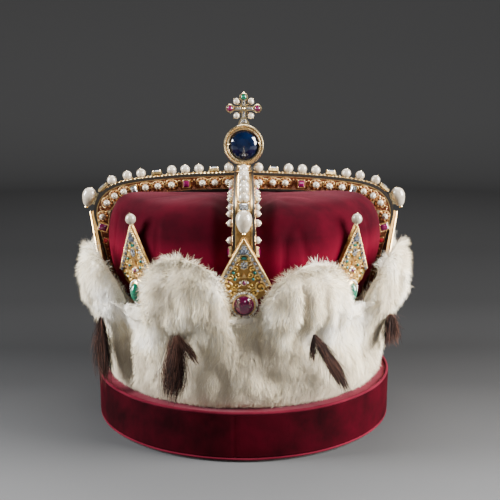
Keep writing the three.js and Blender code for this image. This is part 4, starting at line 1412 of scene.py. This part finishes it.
def build_pelts():
    skin = Paint("fur_skin", (0.8, 0.75, 0.66), Roughness=0.95)
    patches = skin.noise(38.0, 4.0, 0.6)
    skin.look(Base_Color=skin.ramp(patches, (0.3, (0.62, 0.55, 0.43)), (0.7, (0.86, 0.81, 0.72))))
    skin.bump((skin.noise(420.0, 3.0, 0.6), 0.6, 1.2))
    count = STRANDS_PER_PELT
    for k in range(8):
        node = f"ermine_pelt_{k + 1}"
        points, normal, down, t = pelt_skin(k)
        shape = points.reshape(-1, 3), grid_faces(*points.shape[:2])[:, ::-1]
        single(f"pelt_{k + 1}_skin", "crown", skin.material, "ermine_fur", node, shape)
        roots, facing, fall, at = scatter(points, normal, down, t, count)
        aim, length, curl = comb(k, roots, facing, fall, at)
        # darker, creamier tints low down under the lobes and in the creases are painted shade; the rest is
        # the fur's own random tone
        tone_and_painted_shade = lumps(roots, 26.0, 1, 2.0) + 0.5 * lumps(roots, 11.0, 0, 1.0) + rng.normal(0, 0.28, count)
        tone_and_painted_shade -= 0.85 * smooth_step(104, 66, roots[:, 2]) + 0.1 + 0.16 * crease_depth(roots)
        tint = np.select([tone_and_painted_shade < -0.7, tone_and_painted_shade < -0.3, tone_and_painted_shade < 0.1, tone_and_painted_shade < 0.6], [3, 2, 1, 0], 4)
        width = rng.uniform(0.15, 0.26, count)
        strands(
            f"pelt_{k + 1}_fur", "crown", roots, aim, facing, length, width, curl,
            tint, FUR_TINTS, node, floor=CROWN_BOTTOM + 0.15,
        )


# Each tail: how far round from its lobe's middle and its lean towards +azimuth, in degrees, and its
# locks, each a share of the hair, a length, a lean of its own and half its spread.
TAILS = [
    (0, 33, [(0.84, 58, 0, 4.2), (0.16, 22, -34, 3.0)]),
    (-8, 14, [(0.4, 28, -18, 7.0), (0.6, 36, 22, 9.0)]),
    (2, -6, [(1.0, 50, 0, 8.5)]),
    (0, 8, [(1.0, 48, 0, 8.5)]),
    (-3, -10, [(1.0, 52, 0, 8.5)]),
    (2, 5, [(1.0, 48, 0, 8.5)]),
    (10, 4, [(0.75, 57, -2, 10.5), (0.25, 44, -12, 9.0)]),
    (1, -4, [(0.84, 55, -2, 10.5), (0.16, 28, 44, 4.0)]),
]
HAIRS_PER_TAIL = 2200


def lock_of_hair(n, long, a, spread):
    """Roots, aims and lengths of n hairs of a lock that hangs from the origin at an angle a."""
    way = np.array([math.sin(a), 0.03, -math.cos(a)])
    across = np.array([math.cos(a), 0, math.sin(a)])
    u, v = rng.normal(0, 1, (2, n))
    side = across * (u * spread * 0.5)[:, None] + np.array([0, 1, 0]) * (v * spread * 0.36)[:, None]
    start = rng.uniform(0, 0.66, n)
    reach = rng.uniform(0.2, 0.46, n)
    reach = np.minimum(reach, np.maximum(1.08 - 0.5 * rng.random(n) - start, 0.08))
    wide, wide_end = (0.28 + 1.5 * part * np.maximum(1 - part, 0) ** 0.6 for part in (start, start + reach))
    roots = way * (start * long)[:, None] + side * wide[:, None] + [0, 0, 2.5]
    loose = np.where(rng.random(n) < 0.2, 0.24, 0.07)[:, None]
    aim = way * (reach * long)[:, None] + side * (wide_end - wide)[:, None]
    aim = unit(unit(aim) + rng.normal(0, 1, (n, 3)) * loose)
    return roots, aim, reach * long


def build_tails():
    for k, (shift, lean, locks) in enumerate(TAILS):
        grid = np.array(bay(45 * (k + 0.5) + shift) @ move(0, -TAIL_ROOT[0], TAIL_ROOT[1]))
        whole = [
            lock_of_hair(int(HAIRS_PER_TAIL * share), long, math.radians(lean + turn), spread)
            for share, long, turn, spread in locks
        ]
        roots, aim, length = (np.concatenate(part) for part in zip(*whole))
        roots = roots @ grid[:3, :3].T + grid[:3, 3]
        aim = clumped(roots, aim @ grid[:3, :3].T, length, 14, 0.35)
        facing = unit(roots * [1, 1, 0] + rng.normal(0, 14, roots.shape))
        mixup = lumps(roots, 4.0, 0, k) + rng.normal(0, 0.5, len(roots))
        tint = np.select([mixup < -0.2, mixup < 0.5], [0, 1], 2)
        curl = rng.normal(0, 0.08, roots.shape) - [0, 0, 0.12]
        width = rng.uniform(0.16, 0.32, len(roots))
        strands(
            f"tail_{k + 1}_hair", f"tail_{k + 1}", roots, aim, facing, length, width, curl,
            tint, TAIL_TINTS, f"ermine_tail_{k + 1}",
        )


# ---- assembly ------------------------------------------------------------------------------------

build_camera_and_lights()
build_stage()
build_stand()
build_cap()
for number, name in enumerate(SIDES):
    build_arch(name, 90 * number)
build_fleurons()
build_finial()
build_pelts()
build_tails()
